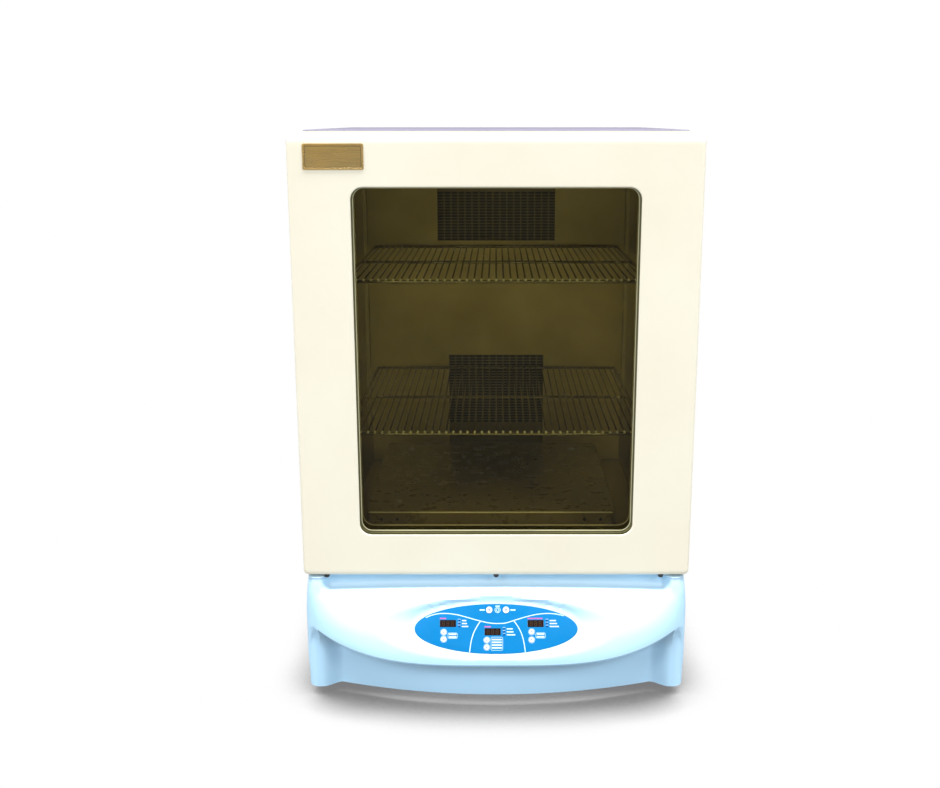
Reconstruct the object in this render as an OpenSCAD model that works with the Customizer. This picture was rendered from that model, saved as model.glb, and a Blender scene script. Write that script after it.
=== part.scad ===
// Shaking laboratory incubator: a heated cabinet with a glass door over an orbital shaker drive.
// Millimetres. Origin on the floor under the middle of the overall box, +Z up, front towards -Y.

/* [Cabinet] */
// Width of the insulated cabinet
cab_w = 660; // [650:1:664]
// Depth from the front of the control bulge to the rear cover
overall_d = 768; // [764:1:772]
// Height of the roof above the floor
roof_z = 982; // [981:1:990]
// Height of the top of the base, where the cabinet sits
base_top = 222; // [221:0.5:222]

/* [Door] */
// Width of the door
door_w = 667; // [665:1:670]
// Height of the door
door_h = 748; // [746:1:748]
// Thickness of the door, from its front face to its inner panel
door_t = 55; // [54:0.5:56]
// Width of the window opening
window_w = 467; // [455:1:470]
// Height of the window opening
window_h = 588; // [570:1:590]
// Corner radius of the window opening
window_r = 22; // [15:1:30]

/* [Base] */
// How far the control bulge stands in front of the door
bulge = 63; // [60:1:63]
// Height of the rubber feet
foot_h = 20; // [18:1:20]

/* [Shaker] */
// Radius of the circular orbit
orbit_r = 9.5; // [5:0.5:12]
// Side of the square platform
platform_w = 457; // [450:1:460]
// Height of the platform's top face
platform_z = 303; // [302:1:304]

/* [Shelves] */
// Height of the lower shelf's wires
shelf_low_z = 467; // [440:1:480]
// Height of the upper shelf's wires
shelf_high_z = 735; // [700:1:750]
// Spacing of the shelf wires
wire_pitch = 12.5; // [12:0.5:14]

/* [Hidden] */

// Depth stations
y_front = -overall_d / 2;
y_rear = overall_d / 2;
y_door = y_front + bulge;
y_door_back = y_door + door_t;
seal_t = 8;
y_cab = y_door_back + seal_t;
frame_t = 4;
sheet = 1.5;
rear_foam = 25;
cover_y = y_rear - 2;
y_liner_rear = cover_y - sheet - rear_foam;
duct_panel_y = 312;

// Height stations
door_z0 = base_top + 8;
door_z1 = door_z0 + door_h;
deck_t = 6;
base_half = cab_w / 2 - 12;
base_y = y_door + 38;
floor_z = 248;
ceiling_z = 920;
chamber_w = 558;
liner_t = 1.2;
window_z = door_z0 + 75 + window_h / 2;

// Drive stations: three upright cranks carry the platform's carriage
drive_y = 30;
main_pos = [0, drive_y + 110];
idler_pos = [[-150, drive_y - 90], [150, drive_y - 90]];
motor_pos = [-165, drive_y + 110];
belt_z = 72;
belt_h = 16;
pulley_r = 68;
motor_pulley_r = 22;
shaft_r = 10;
pin_r = 8;
run_gap = 0.05;
loose_gap = 0.35;
disc_z = 254;
disc_h = 12;
pin_top = 292;
carriage_z = 274;
carriage_top = platform_z - 3;
eccentric = [-orbit_r, 0];

// Control panel plane: it leans back, and its own frame has X across and Y up the slope
panel_centre = [0, y_door - 35, 147];
panel_tilt = 62;
panel_t = 6;
panel_a = 140;
panel_b = 42;
key_gap = 0.3;
key_pocket = 5;
key_proud = 0.9;
// Keys as [across, up, radius]: start, stop, then the up and down key under each display
keys = [[-12, 32, 5.5], [17, 32, 5.5], [-90, -5.5, 4.3], [-90, -17.5, 4.3], [-16, -19, 4.3],
    [-16, -31, 4.3], [61, -5, 4.3], [61, -18.5, 4.3]];
display_pos = [[-83, 9], [-6, -5], [68, 9]];
display_size = [28, 12];
lamp_r = 1.5;
lamp_pos = [for (d = display_pos, i = [-1:1]) [d[0] + 19.5, d[1] + 5 * i]];

// Shelves
shelf_w = 528;
shelf_d = 550;
shelf_y = y_cab + 15;
rail_r = 3;
wire_r = 1.5;
pilaster_y = [-190, 250];

// Hinge axis, inside the door's left edge
hinge_x = -door_w / 2 + 15.5;
hinge_y = y_door + 31;
hinge_pin_r = 5;

// ---------- helpers ----------

function arc(cx, cy, r, a0, a1, n) =
    [for (i = [0:n]) [cx + r * cos(a0 + (a1 - a0) * i / n), cy + r * sin(a0 + (a1 - a0) * i / n)]];

function rounded(w, h, r, n = 6) = concat(
    arc(w / 2 - r, h / 2 - r, r, 0, 90, n),
    arc(-w / 2 + r, h / 2 - r, r, 90, 180, n),
    arc(-w / 2 + r, -h / 2 + r, r, 180, 270, n),
    arc(w / 2 - r, -h / 2 + r, r, 270, 360, n));

// A box from its low corner to its high corner
module span(low, high) {
    translate(low) cube(high - low);
}

// A flat outline in X and Z, given thickness along Y from y0 to y1
module upright(y0, y1) {
    translate([0, y1, 0]) rotate([90, 0, 0]) linear_extrude(y1 - y0) children();
}

module tube(r_out, r_in, h) {
    difference() {
        cylinder(r = r_out, h = h, $fn = 48);
        translate([0, 0, -1]) cylinder(r = r_in, h = h + 2, $fn = 48);
    }
}

// Children in the control panel's own frame, with +Z out of the face
module on_panel() {
    translate(panel_centre) rotate([panel_tilt, 0, 0]) children();
}

// ---------- base ----------

module feet() {
    color("dimgray")
    for (x = [-270, 270], y = [y_door + 75, y_rear - 60])
        translate([x, y, 0]) cylinder(r = 24, h = foot_h, $fn = 48);
}

module base_frame() {
    wall = 2;
    color("lightsteelblue")
    difference() {
        span([-base_half, base_y, foot_h], [base_half, y_rear, base_top - deck_t]);
        span([-base_half + wall, base_y + wall, foot_h + wall], [base_half - wall, y_rear - wall, base_top]);
        translate([150, y_rear + 1, 90]) inlet_hole();
        for (z = [60:12:132]) span([-220, y_rear - wall - 1, z], [-60, y_rear + 1, z + 4]);
    }
}

// Cut-out for the mains inlet and the rocker beside it, drawn towards -Y
module inlet_hole() {
    rotate([90, 0, 0]) linear_extrude(6) {
        square([30, 22], center = true);
        translate([45, 0]) square([22, 30], center = true);
    }
}

module base_deck() {
    wide = cab_w / 2 - 1;
    color("silver")
    difference() {
        union() {
            span([-base_half, base_y, base_top - deck_t], [base_half, y_rear, base_top]);
            span([-wide, y_cab + 1, base_top - deck_t], [wide, y_rear, base_top]);
        }
        for (p = concat([main_pos], idler_pos))
            translate([p[0], p[1], base_top - deck_t - 1])
                cylinder(r = shaft_r + 5, h = deck_t + 2, $fn = 48);
    }
}

// The fascia is one moulded shell, swept round the front of the base.
// A station is [x, y, outward direction, front weight, share of the half width].
fascia_half = door_w / 2;
scoop_end = 306;
scoop_blend = 18;
corner_r = 20;
fascia_back = y_cab - 0.5;
front_n = 28;
corner_n = 4;
function blend(t) = t <= 0 ? 0 : t >= 1 ? 1 : t * t * (3 - 2 * t);

stations = concat(
    [for (i = [0:1]) [-fascia_half, fascia_back - i * 20, [-1, 0], 0, 1]],
    [for (i = [0:corner_n - 1]) let (a = 90 * i / corner_n)
        [-fascia_half + corner_r * (1 - cos(a)), y_door + corner_r * (1 - sin(a)), [-cos(a), -sin(a)],
            blend(a / 90), 1 - 0.05 * i / corner_n]],
    [for (i = [0:front_n]) let (x = (fascia_half - corner_r) * (2 * i / front_n - 1))
        [x, y_door, [0, -1], 1, abs(x) / fascia_half]],
    [for (i = [corner_n - 1:-1:0]) let (a = 90 * i / corner_n)
        [fascia_half - corner_r * (1 - cos(a)), y_door + corner_r * (1 - sin(a)), [cos(a), -sin(a)],
            blend(a / 90), 1 - 0.05 * i / corner_n]],
    [for (i = [1:-1:0]) [fascia_half, fascia_back - i * 20, [1, 0], 0, 1]]);

// How far the lip stands out, how high it lies, and where the skirt below it runs
function lip_out(u) = bulge * (1 - pow(u, 4));
function lip_z(u) = 93 + 55 * pow(u, 3.2);
function crest_z(u) = 205 - 6 * pow(u, 2);
function skirt_out(u) = u < 0.82 ? -18 + 47 * (1 - pow(u / 0.82, 2)) : -18 * (1 - blend((u - 0.82) / 0.1));

// A finger scoop runs along the top edge between two cheeks; across is 1 in the scoop and 0 in a cheek
function scoop(u, across) =
    let (z = crest_z(u), low = [[-24, 226.5], [-21.5, 221], [-17, z + 13], [-8, z + 5]],
        cheek = [[-6, 226.5], [-3, 223], [-0.5, 216], [1.8, 208]])
    low * across + cheek * (1 - across);

// Outer section at one station, as [outward, height], from the top flange down to the floor edge
function front_section(u) =
    let (o = lip_out(u), z = lip_z(u), s = skirt_out(u), crest = crest_z(u), drop = crest - z,
        across = blend((scoop_end - u * fascia_half) / scoop_blend))
    concat([[y_door - y_cab + 0.5, 227]], scoop(u, across), [[4, crest],
     [4 + 0.36 * (o - 4), crest - 0.2 * drop],
     [4 + 0.65 * (o - 4), crest - 0.42 * drop],
     [4 + 0.86 * (o - 4), crest - 0.64 * drop],
     [4 + 0.97 * (o - 4), crest - 0.85 * drop],
     [o, z], [o - 1.5, z - 4], [s + 0.6 * (o - s), z - 9], [s + 0.14 * (o - s), z - 16],
     [s, z - 28], [s, foot_h]]);
side_section = [[-6, 227], [-6, 226.5], [-5, 220], [-4, 212], [-3, 202], [-2, 190], [-1, 176], [0, 162],
    [0, 146], [0, 130], [0, 115], [0, 100], [0, 85], [0, 70], [-1, 50], [-2, foot_h]];
function section(s) = let (f = front_section(s[4]), w = s[3])
    [for (j = [0:len(f) - 1]) f[j] * w + side_section[j] * (1 - w)];

fascia_t = 4;
// The inner skin lies a wall thickness inside the outer one
function inward(p, j) = j == 0 ? [p[0] - 0.5, p[1] - fascia_t] : [p[0] - fascia_t, min(p[1], 223)];
function place(s, p) = [s[0] + s[2][0] * p[0], s[1] + s[2][1] * p[0], p[1]];

// The crown of the bulge dips from an outer oval to a flat rim round the control panel,
// which lies in a pocket
panel_proud = 0.8;
pocket_gap = 0.3;
dish_a = 207;
dish_b = 53;
rim = 5;
panel_normal = [0, -sin(panel_tilt), cos(panel_tilt)];
panel_up = [0, cos(panel_tilt), sin(panel_tilt)];
// Share of the dip at a point: none outside the oval, all of it inside the rim
function dip(p) =
    let (x = p[0], t = (p - panel_centre) * panel_up,
        inside = 1 - norm([x / dish_a, t / dish_b]),
        outside = norm([x / (panel_a + rim), t / (panel_b + rim)]) - 1)
    inside <= 0 ? 0 : outside <= 0 ? 1 : inside / (inside + outside);
function behind_panel(p, depth) =
    let (h = (p - panel_centre) * panel_normal + depth)
    p + [0, max(h, 0) * dip(p) / sin(panel_tilt), 0];

module front_fascia() {
    m = len(side_section);
    n = len(stations);
    points = [for (s = stations) each concat(
        [for (p = section(s)) behind_panel(place(s, p), panel_proud)],
        [for (j = [m - 1:-1:0])
            behind_panel(place(s, inward(section(s)[j], j)), panel_t + pocket_gap + fascia_t)])];
    ring = 2 * m;
    skin = [for (i = [0:n - 2], j = [0:ring - 1]) let (k = (j + 1) % ring)
        each [[i * ring + j, (i + 1) * ring + k, i * ring + k],
              [i * ring + j, (i + 1) * ring + j, (i + 1) * ring + k]]];
    ends = [for (j = [0:m - 2]) let (k = ring - 1 - j, z = (n - 1) * ring)
        each [[j, j + 1, k], [j + 1, k - 1, k], [z + j, z + k, z + j + 1], [z + j + 1, z + k, z + k - 1]]];
    color("lightblue") difference() {
        polyhedron(points, concat(skin, ends), 4);
        on_panel() translate([0, 0, -panel_t - pocket_gap]) linear_extrude(4 * panel_t)
            polygon(panel_outline(panel_a + pocket_gap, panel_b + pocket_gap));
    }
}

// How deep the displays and lamps are let into the panel
inset = 1;
module control_panel() {
    color("dodgerblue")
    on_panel() difference() {
        translate([0, 0, -panel_t]) linear_extrude(panel_t) polygon(panel_outline(panel_a, panel_b));
        for (k = keys)
            translate([k[0], k[1], -key_pocket]) cylinder(r = k[2] + key_gap, h = panel_t, $fn = 32);
        for (d = display_pos)
            translate([d[0], d[1], -inset]) linear_extrude(2 * inset) square(display_size, center = true);
        for (l = lamp_pos) translate([l[0], l[1], -inset]) cylinder(r = lamp_r, h = 2 * inset, $fn = 24);
    }
}

function panel_outline(a, b) =
    [for (i = [0:71]) let (t = 5 * i) [a * cos(t), b * sin(t)]];

module displays() {
    color("black")
    on_panel() for (d = display_pos)
        translate([d[0], d[1], -inset]) linear_extrude(inset + 0.2) square(display_size, center = true);
}

module indicator_lamps() {
    color("navy")
    on_panel() for (l = lamp_pos) translate([l[0], l[1], -inset])
        cylinder(r = lamp_r, h = inset + 0.4, $fn = 24);
}

module key_cap(i) {
    color("white")
    on_panel() translate([keys[i][0], keys[i][1], key_proud - key_pocket])
        cylinder(r = keys[i][2], h = key_pocket, $fn = 32);
}

module control_board() {
    color("darkgreen") {
        span([-110, y_door + 12, 70], [110, y_door + 14, 175]);
        for (x = [-80, -20, 50]) span([x, y_door + 14, 90], [x + 30, y_door + 22, 130]);
    }
}

module power_supply() {
    color("darkgray") span([170, 150, foot_h + 2], [290, 330, foot_h + 62]);
}

module power_inlet() {
    color("black")
    translate([150, y_rear, 90]) rotate([90, 0, 0]) {
        difference() {
            linear_extrude(30) square([29.4, 21.4], center = true);
            translate([0, 0, -1]) linear_extrude(17) difference() {
                square([24, 17], center = true);
                for (x = [-6, 0, 6]) translate([x, x == 0 ? 3 : -2]) square([2, 5], center = true);
            }
        }
        translate([45, 0, 0]) difference() {
            linear_extrude(22) square([21, 29], center = true);
            translate([0, 0, -1]) linear_extrude(13) square([17.6, 25.6], center = true);
        }
    }
}

// The rocker lies tipped to its off side and turns on two stubs, across the rear wall
rocker_pos = [195, y_rear - 4, 90];
rocker_tip = 8;
rocker_w = 16;
stub = 0.5;
module power_switch() {
    color("firebrick")
    translate(rocker_pos) rotate([0, 90, 0]) rotate([0, 0, rocker_tip]) translate([0, 0, -rocker_w / 2]) {
        translate([0, 0, -stub]) cylinder(r = 1.3, h = rocker_w + 2 * stub, $fn = 32);
        linear_extrude(rocker_w)
            polygon(concat(arc(0, 0, 6, 200, 340, 8), [[10.5, 2.2], [4, 1.4], [-4, 1.4], [-10.5, 2.2]]));
    }
}

// ---------- shaker drive ----------

module drive_motor() {
    color("dimgray")
    translate([motor_pos[0], motor_pos[1], 0]) difference() {
        union() {
            translate([0, 0, 104]) cylinder(r = 46, h = base_top - deck_t - 104, $fn = 64);
            translate([-52, -52, base_top - deck_t - 8]) cube([104, 104, 8]);
            translate([0, 0, 98]) cylinder(r = 20, h = 7, $fn = 48);
        }
        translate([0, 0, 97]) cylinder(r = 8 + run_gap, h = 60, $fn = 48);
    }
}

module motor_pulley() {
    color("silver")
    translate([motor_pos[0], motor_pos[1], 0]) {
        translate([0, 0, belt_z]) cylinder(r = motor_pulley_r, h = belt_h, $fn = 64);
        translate([0, 0, belt_z - 3]) cylinder(r = motor_pulley_r + 3, h = 3, $fn = 64);
        translate([0, 0, belt_z + belt_h]) cylinder(r = motor_pulley_r + 3, h = 3, $fn = 64);
        translate([0, 0, belt_z]) cylinder(r = 8, h = 80, $fn = 48);
    }
}

module drive_belt() {
    slack = 0.5;
    color("black")
    translate([0, 0, belt_z + 1]) linear_extrude(belt_h - 2) difference() {
        hull() {
            translate(main_pos) circle(r = pulley_r + slack + 3, $fn = 72);
            translate(motor_pos) circle(r = motor_pulley_r + slack + 2.4, $fn = 48);
        }
        hull() {
            translate(main_pos) circle(r = pulley_r + slack, $fn = 72);
            translate(motor_pos) circle(r = motor_pulley_r + slack, $fn = 48);
        }
    }
}

bearing_r = 19;
bearing_h = 12;
module bearing_housings() {
    color("slategray") {
        translate([main_pos[0], main_pos[1], 130]) housing(base_top - deck_t - 130);
        for (p = idler_pos) translate([p[0], p[1], 166]) housing(base_top - deck_t - 166);
    }
}

module housing(h) {
    difference() {
        union() {
            cylinder(r = 30, h = h, $fn = 48);
            translate([0, 0, h - 8]) cylinder(r = 45, h = 8, $fn = 48);
        }
        translate([0, 0, -1]) cylinder(r = shaft_r + 3, h = h + 2, $fn = 48);
        translate([0, 0, -1]) cylinder(r = bearing_r, h = bearing_h + 1, $fn = 48);
        translate([0, 0, h - bearing_h]) cylinder(r = bearing_r, h = bearing_h + 1, $fn = 48);
    }
}

module crank_bearings() {
    top = base_top - deck_t - bearing_h;
    color("gainsboro") {
        for (z = [130, top]) translate([main_pos[0], main_pos[1], z])
            tube(bearing_r, shaft_r + run_gap, bearing_h);
        for (p = idler_pos, z = [166, top])
            translate([p[0], p[1], z]) tube(bearing_r, shaft_r + run_gap, bearing_h);
    }
}

// An upright crank: shaft, disc above the chamber floor, and the pin that carries the carriage
module crank(p, z0) {
    translate([p[0], p[1], 0]) {
        translate([0, 0, z0]) cylinder(r = shaft_r, h = disc_z - z0 + 1, $fn = 48);
        translate([0, 0, disc_z]) cylinder(r = 26, h = disc_h, $fn = 48);
        translate([eccentric[0], eccentric[1], disc_z]) cylinder(r = pin_r, h = pin_top - disc_z, $fn = 48);
    }
}

module main_crank() {
    color("lightgray") crank(main_pos, belt_z - 6);
}

module drive_pulley() {
    color("silver")
    translate([main_pos[0], main_pos[1], 0]) difference() {
        union() {
            translate([0, 0, belt_z]) cylinder(r = pulley_r, h = belt_h, $fn = 96);
            translate([0, 0, belt_z - 3]) cylinder(r = pulley_r + 4, h = 3, $fn = 96);
            translate([0, 0, belt_z + belt_h]) cylinder(r = pulley_r + 4, h = 3, $fn = 96);
        }
        translate([0, 0, belt_z - 4]) cylinder(r = shaft_r, h = belt_h + 8, $fn = 48);
        for (a = [0:60:300]) rotate([0, 0, a])
            translate([40, 0, belt_z - 4]) cylinder(r = 14, h = belt_h + 8, $fn = 32);
    }
}

module counterweight() {
    color("dimgray")
    translate([main_pos[0], main_pos[1], 98]) difference() {
        union() {
            cylinder(r = 22, h = 24, $fn = 48);
            intersection() {
                cylinder(r = 78, h = 24, $fn = 96);
                translate([0, -80, 0]) cube([90, 160, 24]);
            }
        }
        translate([0, 0, -1]) cylinder(r = shaft_r, h = 26, $fn = 48);
    }
}

module idler_crank_left() {
    color("lightgray") crank(idler_pos[0], 158);
}

module idler_crank_right() {
    color("lightgray") crank(idler_pos[1], 158);
}

// The carriage joins the three pins; two of its bores are loose, so that nothing binds
module platform_carriage() {
    centre = [eccentric[0], drive_y];
    arm = 34;
    color("gray")
    difference() {
        union() {
            for (p = concat([main_pos], idler_pos))
                translate([p[0] + eccentric[0], p[1], carriage_z])
                    cylinder(r = 24, h = carriage_top - carriage_z, $fn = 48);
            for (s = [-1, 1]) translate([centre[0], centre[1], carriage_top - 10])
                rotate([0, 0, 45 * s]) translate([-270, -arm / 2, 0]) cube([540, arm, 10]);
            translate([centre[0] - 200, idler_pos[0][1] - arm / 2, carriage_top - 10]) cube([400, arm, 10]);
            translate([centre[0] - arm / 2, drive_y - 90, carriage_top - 10]) cube([arm, 220, 10]);
        }
        translate([main_pos[0] + eccentric[0], main_pos[1], carriage_z - 1])
            cylinder(r = pin_r + run_gap, h = 40, $fn = 48);
        for (p = idler_pos) translate([p[0] + eccentric[0], p[1], carriage_z - 1])
            cylinder(r = pin_r + loose_gap, h = 40, $fn = 48);
        screw_shanks();
    }
}

screw_reach = 172;
screw_r = 3;
module screw_shanks() {
    for (x = [-screw_reach, screw_reach], y = [-screw_reach, screw_reach])
        translate([eccentric[0] + x, drive_y + y, platform_z - 11]) cylinder(r = screw_r, h = 11.5, $fn = 24);
}

hole_pitch = [52, 27];
hole_rows = 15;
clamp_hole_r = 2.6;
module platform() {
    half = platform_w / 2;
    wall = 2.5;
    flange = 28;
    color("darkslategray")
    translate([eccentric[0], drive_y, 0]) difference() {
        translate([0, 0, platform_z - flange]) linear_extrude(flange)
            polygon(rounded(platform_w, platform_w, 12));
        translate([0, 0, platform_z - flange - 1])
            linear_extrude(flange - 2) polygon(rounded(platform_w - 2 * wall, platform_w - 2 * wall, 10));
        for (j = [0:hole_rows - 1]) let (n = j % 2 == 0 ? 8 : 7)
            for (i = [0:n - 1])
                translate([(i - (n - 1) / 2) * hole_pitch[0], (j - 7) * hole_pitch[1], platform_z - 4])
                    cylinder(r = clamp_hole_r, h = 6, $fn = 16);
        for (x = [-200, -171, 171, 200])
            translate([x, -half - 1, platform_z - 14]) rotate([-90, 0, 0])
                cylinder(r = 3, h = wall + 2, $fn = 16);
        translate([-eccentric[0], -drive_y, 0]) screw_shanks();
    }
}

module platform_screws() {
    color("gainsboro") {
        screw_shanks();
        for (x = [-screw_reach, screw_reach], y = [-screw_reach, screw_reach])
            translate([eccentric[0] + x, drive_y + y, 0]) difference() {
                translate([0, 0, platform_z]) cylinder(r = 6, h = 3, $fn = 32);
                translate([0, 0, platform_z + 1.2]) cylinder(r = 3, h = 3, $fn = 6);
            }
    }
}

// ---------- cabinet ----------

// An outline with round top corners and a square foot, standing on the line z0
function hood(w, z0, z1, r) = concat(arc(w / 2 - r, z1 - r, r, 0, 90, 6),
    arc(-w / 2 + r, z1 - r, r, 90, 180, 6), [[-w / 2, z0], [w / 2, z0]]);

hood_r = 14;
shell_top = roof_z - 2;
module cabinet_shell() {
    color("ivory")
    upright(y_cab + frame_t, cover_y - sheet) difference() {
        polygon(hood(cab_w, base_top, shell_top, hood_r));
        polygon(hood(cab_w - 2 * sheet, base_top - 1, shell_top - sheet, hood_r - sheet));
    }
}

module top_cover() {
    color("lavender")
    translate([0, (y_cab + cover_y) / 2, shell_top])
        linear_extrude(2) polygon(rounded(cab_w - 2 * hood_r, cover_y - y_cab, 4));
}

module front_frame() {
    color("ivory")
    upright(y_cab, y_cab + frame_t) difference() {
        polygon(hood(cab_w, base_top, shell_top, hood_r));
        translate([0, (floor_z + ceiling_z) / 2]) square([chamber_w, ceiling_z - floor_z], center = true);
        for (p = case_screw_front) translate(p) circle(r = case_screw_r, $fn = 24);
    }
}

module chamber_liner() {
    half = chamber_w / 2;
    color("lightgray")
    difference() {
        span([-half - liner_t, y_cab + frame_t, floor_z - liner_t],
            [half + liner_t, y_liner_rear, ceiling_z + liner_t]);
        span([-half, y_cab, floor_z], [half, y_liner_rear - liner_t, ceiling_z]);
        for (p = concat([main_pos], idler_pos))
            translate([p[0], p[1], floor_z - 3]) cylinder(r = shaft_r + 4, h = 6, $fn = 48);
        translate([0, y_liner_rear - 3, fan_z]) rotate([-90, 0, 0]) cylinder(r = 8, h = 6, $fn = 32);
    }
}

module insulation() {
    gap = 0.2;
    inner = chamber_w / 2 + liner_t + gap;
    color("khaki")
    difference() {
        upright(y_cab + frame_t + 6, cover_y - sheet - 8)
            polygon(hood(cab_w - 2 * sheet - gap, base_top, shell_top - sheet - gap, hood_r - sheet));
        span([-inner, y_cab, floor_z - liner_t - gap],
            [inner, y_liner_rear + gap, ceiling_z + liner_t + gap]);
        for (p = concat([main_pos], idler_pos))
            translate([p[0], p[1], base_top - 1]) cylinder(r = shaft_r + 5, h = 40, $fn = 48);
        translate([0, y_liner_rear - 1, fan_z]) rotate([-90, 0, 0]) cylinder(r = 46, h = 60, $fn = 48);
    }
}

case_screw_r = 2;
case_screw_front = [for (x = [-5, 5], z = [door_z0 + 22, door_z1 - 22]) [hinge_x + x, z]];
case_screw_rear = [for (x = [-1, 1], z = [base_top + 12, 480, 720, shell_top - 14])
    [x * (cab_w / 2 - 12), z]];
module rear_cover() {
    color("gainsboro")
    upright(cover_y - sheet, cover_y) difference() {
        polygon(hood(cab_w, base_top, shell_top, hood_r));
        for (x = [-1, 1], j = [0:7]) translate([x * 21, fan_z - 28 + 8 * j]) square([32, 3], center = true);
        for (p = case_screw_rear) translate(p) circle(r = case_screw_r, $fn = 24);
    }
}

// Pan-head screws: four hold the hinge brackets, eight the rear cover
module case_screws() {
    head = 1.6;
    shank = 6;
    color("gainsboro") {
        for (p = case_screw_front) translate([p[0], y_cab - 2, p[1]]) rotate([-90, 0, 0]) {
            translate([0, 0, -head]) cylinder(r = 3.6, h = head, $fn = 24);
            cylinder(r = case_screw_r, h = shank, $fn = 24);
        }
        for (p = case_screw_rear) translate([p[0], cover_y, p[1]]) rotate([90, 0, 0]) {
            translate([0, 0, -head]) cylinder(r = 3.6, h = head, $fn = 24);
            cylinder(r = case_screw_r, h = shank, $fn = 24);
        }
    }
}

// ---------- air system behind the chamber ----------

fan_z = 620;
grille_high = [-127, 744, 15, 6.2, 17, 17];
grille_low = [-105, 336, 15, 6.2, 14, 25];

// Slots of one grille: left edge, bottom, column pitch, row pitch, columns, rows
module slots(g) {
    for (i = [0:g[4] - 1], j = [0:g[5] - 1])
        translate([g[0] + g[2] * i + 1.2, g[1] + g[3] * j]) square([g[2] - 2.4, g[3] - 2]);
}

module rear_duct_panel() {
    half = chamber_w / 2 - 1;
    color("silver")
    upright(duct_panel_y, duct_panel_y + liner_t) difference() {
        translate([-half, floor_z + 1]) square([2 * half, ceiling_z - floor_z - 2]);
        slots(grille_high);
        slots(grille_low);
    }
}

module heater() {
    heater_reach = y_liner_rear - liner_t - duct_panel_y - 16;
    color("dimgray")
    translate([0, duct_panel_y + 22, fan_z]) rotate([-90, 0, 0]) {
        for (r = [112, 126]) rotate_extrude($fn = 96) translate([r, 0]) circle(r = 4, $fn = 24);
        for (a = [40, 160, 280]) rotate([0, 0, a]) translate([104, -4, -6]) cube([32, 8, heater_reach]);
    }
}

module fan_motor() {
    color("dimgray")
    translate([0, y_liner_rear, fan_z]) rotate([-90, 0, 0]) difference() {
        cylinder(r = 44, h = rear_foam - 1, $fn = 64);
        translate([0, 0, -1]) cylinder(r = 4 + run_gap, h = 20, $fn = 32);
    }
}

module fan_wheel() {
    color("lightgray")
    translate([0, duct_panel_y + 8, fan_z]) rotate([-90, 0, 0]) {
        cylinder(r = 90, h = 1.5, $fn = 64);
        cylinder(r = 14, h = 26, $fn = 32);
        cylinder(r = 4, h = y_liner_rear + 14 - duct_panel_y - 8, $fn = 32);
        for (a = [0:30:330]) rotate([0, 0, a]) translate([50, -1, 0]) cube([36, 2, 24]);
    }
}

module temperature_probe() {
    color("silver")
    translate([150, duct_panel_y - 70, 905]) rotate([-90, 0, 0]) {
        cylinder(r = 3, h = 70, $fn = 24);
        translate([0, 0, 64]) cylinder(r = 8, h = 6, $fn = 6);
    }
}

// ---------- shelves ----------

module pilasters() {
    depth = 6;
    x = chamber_w / 2;
    color("silver")
    for (s = [-1, 1], y = pilaster_y) difference() {
        span([s > 0 ? x - depth : -x, y - 9, 330], [s > 0 ? x : -x + depth, y + 9, 900]);
        for (z = [350:25:875]) span([-x - 1, y - 4, z], [x + 1, y + 4, z + 8]);
    }
}

module shelf_clips() {
    x = chamber_w / 2 - 6;
    color("silver")
    for (z = [shelf_low_z, shelf_high_z], s = [-1, 1], y = pilaster_y) {
        span([s > 0 ? x - 1.5 : -x, y - 9, z - 26], [s > 0 ? x : -x + 1.5, y + 9, z + 6]);
        span([s > 0 ? x - 16 : -x, y - 9, z - 9], [s > 0 ? x : -x + 16, y + 9, z - 7.5]);
    }
}

// A shelf of front-to-back wires welded on round rails
module wire_shelf(z) {
    half = shelf_w / 2;
    wires = floor((shelf_w - 2 * rail_r) / wire_pitch / 2);
    color("gainsboro") {
        for (x = [-1, 1])
            translate([x * (half - rail_r), shelf_y, z - 4]) rotate([-90, 0, 0])
                cylinder(r = rail_r, h = shelf_d, $fn = 8);
        for (y = [rail_r, shelf_d / 2, shelf_d - rail_r])
            translate([-half + rail_r, shelf_y + y, z - 4.2]) rotate([0, 90, 0])
                cylinder(r = rail_r, h = shelf_w - 2 * rail_r, $fn = 8);
        for (i = [-wires:wires])
            translate([i * wire_pitch, shelf_y, z - wire_r]) rotate([-90, 0, 0])
                cylinder(r = wire_r, h = shelf_d, $fn = 8);
    }
}

module shelf_upper() {
    wire_shelf(shelf_high_z);
}

module shelf_lower() {
    wire_shelf(shelf_low_z);
}

// ---------- door ----------

bracket_t = 4;
bracket_w = 18;

// Pockets in the door's top and bottom edges for the hinge brackets, open to the left and the rear
module hinge_pockets() {
    for (z = [[door_z0 - 1, door_z0 + 8], [door_z1 - 8, door_z1 + 1]])
        span([-door_w / 2 - 1, hinge_y - 18, z[0]], [hinge_x + 15, y_door_back + 1, z[1]]);
}

module door_skin() {
    wall = 2;
    color("cornsilk")
    difference() {
        upright(y_door, y_door_back - 4) translate([0, door_z0 + door_h / 2])
            polygon(rounded(door_w, door_h, 8));
        upright(y_door + wall, y_door_back + 1)
            translate([0, door_z0 + door_h / 2]) polygon(rounded(door_w - 2 * wall, door_h - 2 * wall, 6));
        upright(y_door - 1, y_door + wall + 1)
            translate([0, window_z]) polygon(rounded(window_w, window_h, window_r));
        hinge_pockets();
    }
}

module door_insulation() {
    color("khaki")
    difference() {
        upright(y_door + 6, y_door_back - 4) difference() {
            translate([0, door_z0 + door_h / 2]) polygon(rounded(door_w - 24, door_h - 36, 6));
            translate([0, window_z]) polygon(rounded(window_w + 24.4, window_h + 24.4, window_r + 12.2));
        }
        hinge_pockets();
        hinge_bores(hinge_pin_r + 4);
    }
}

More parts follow.
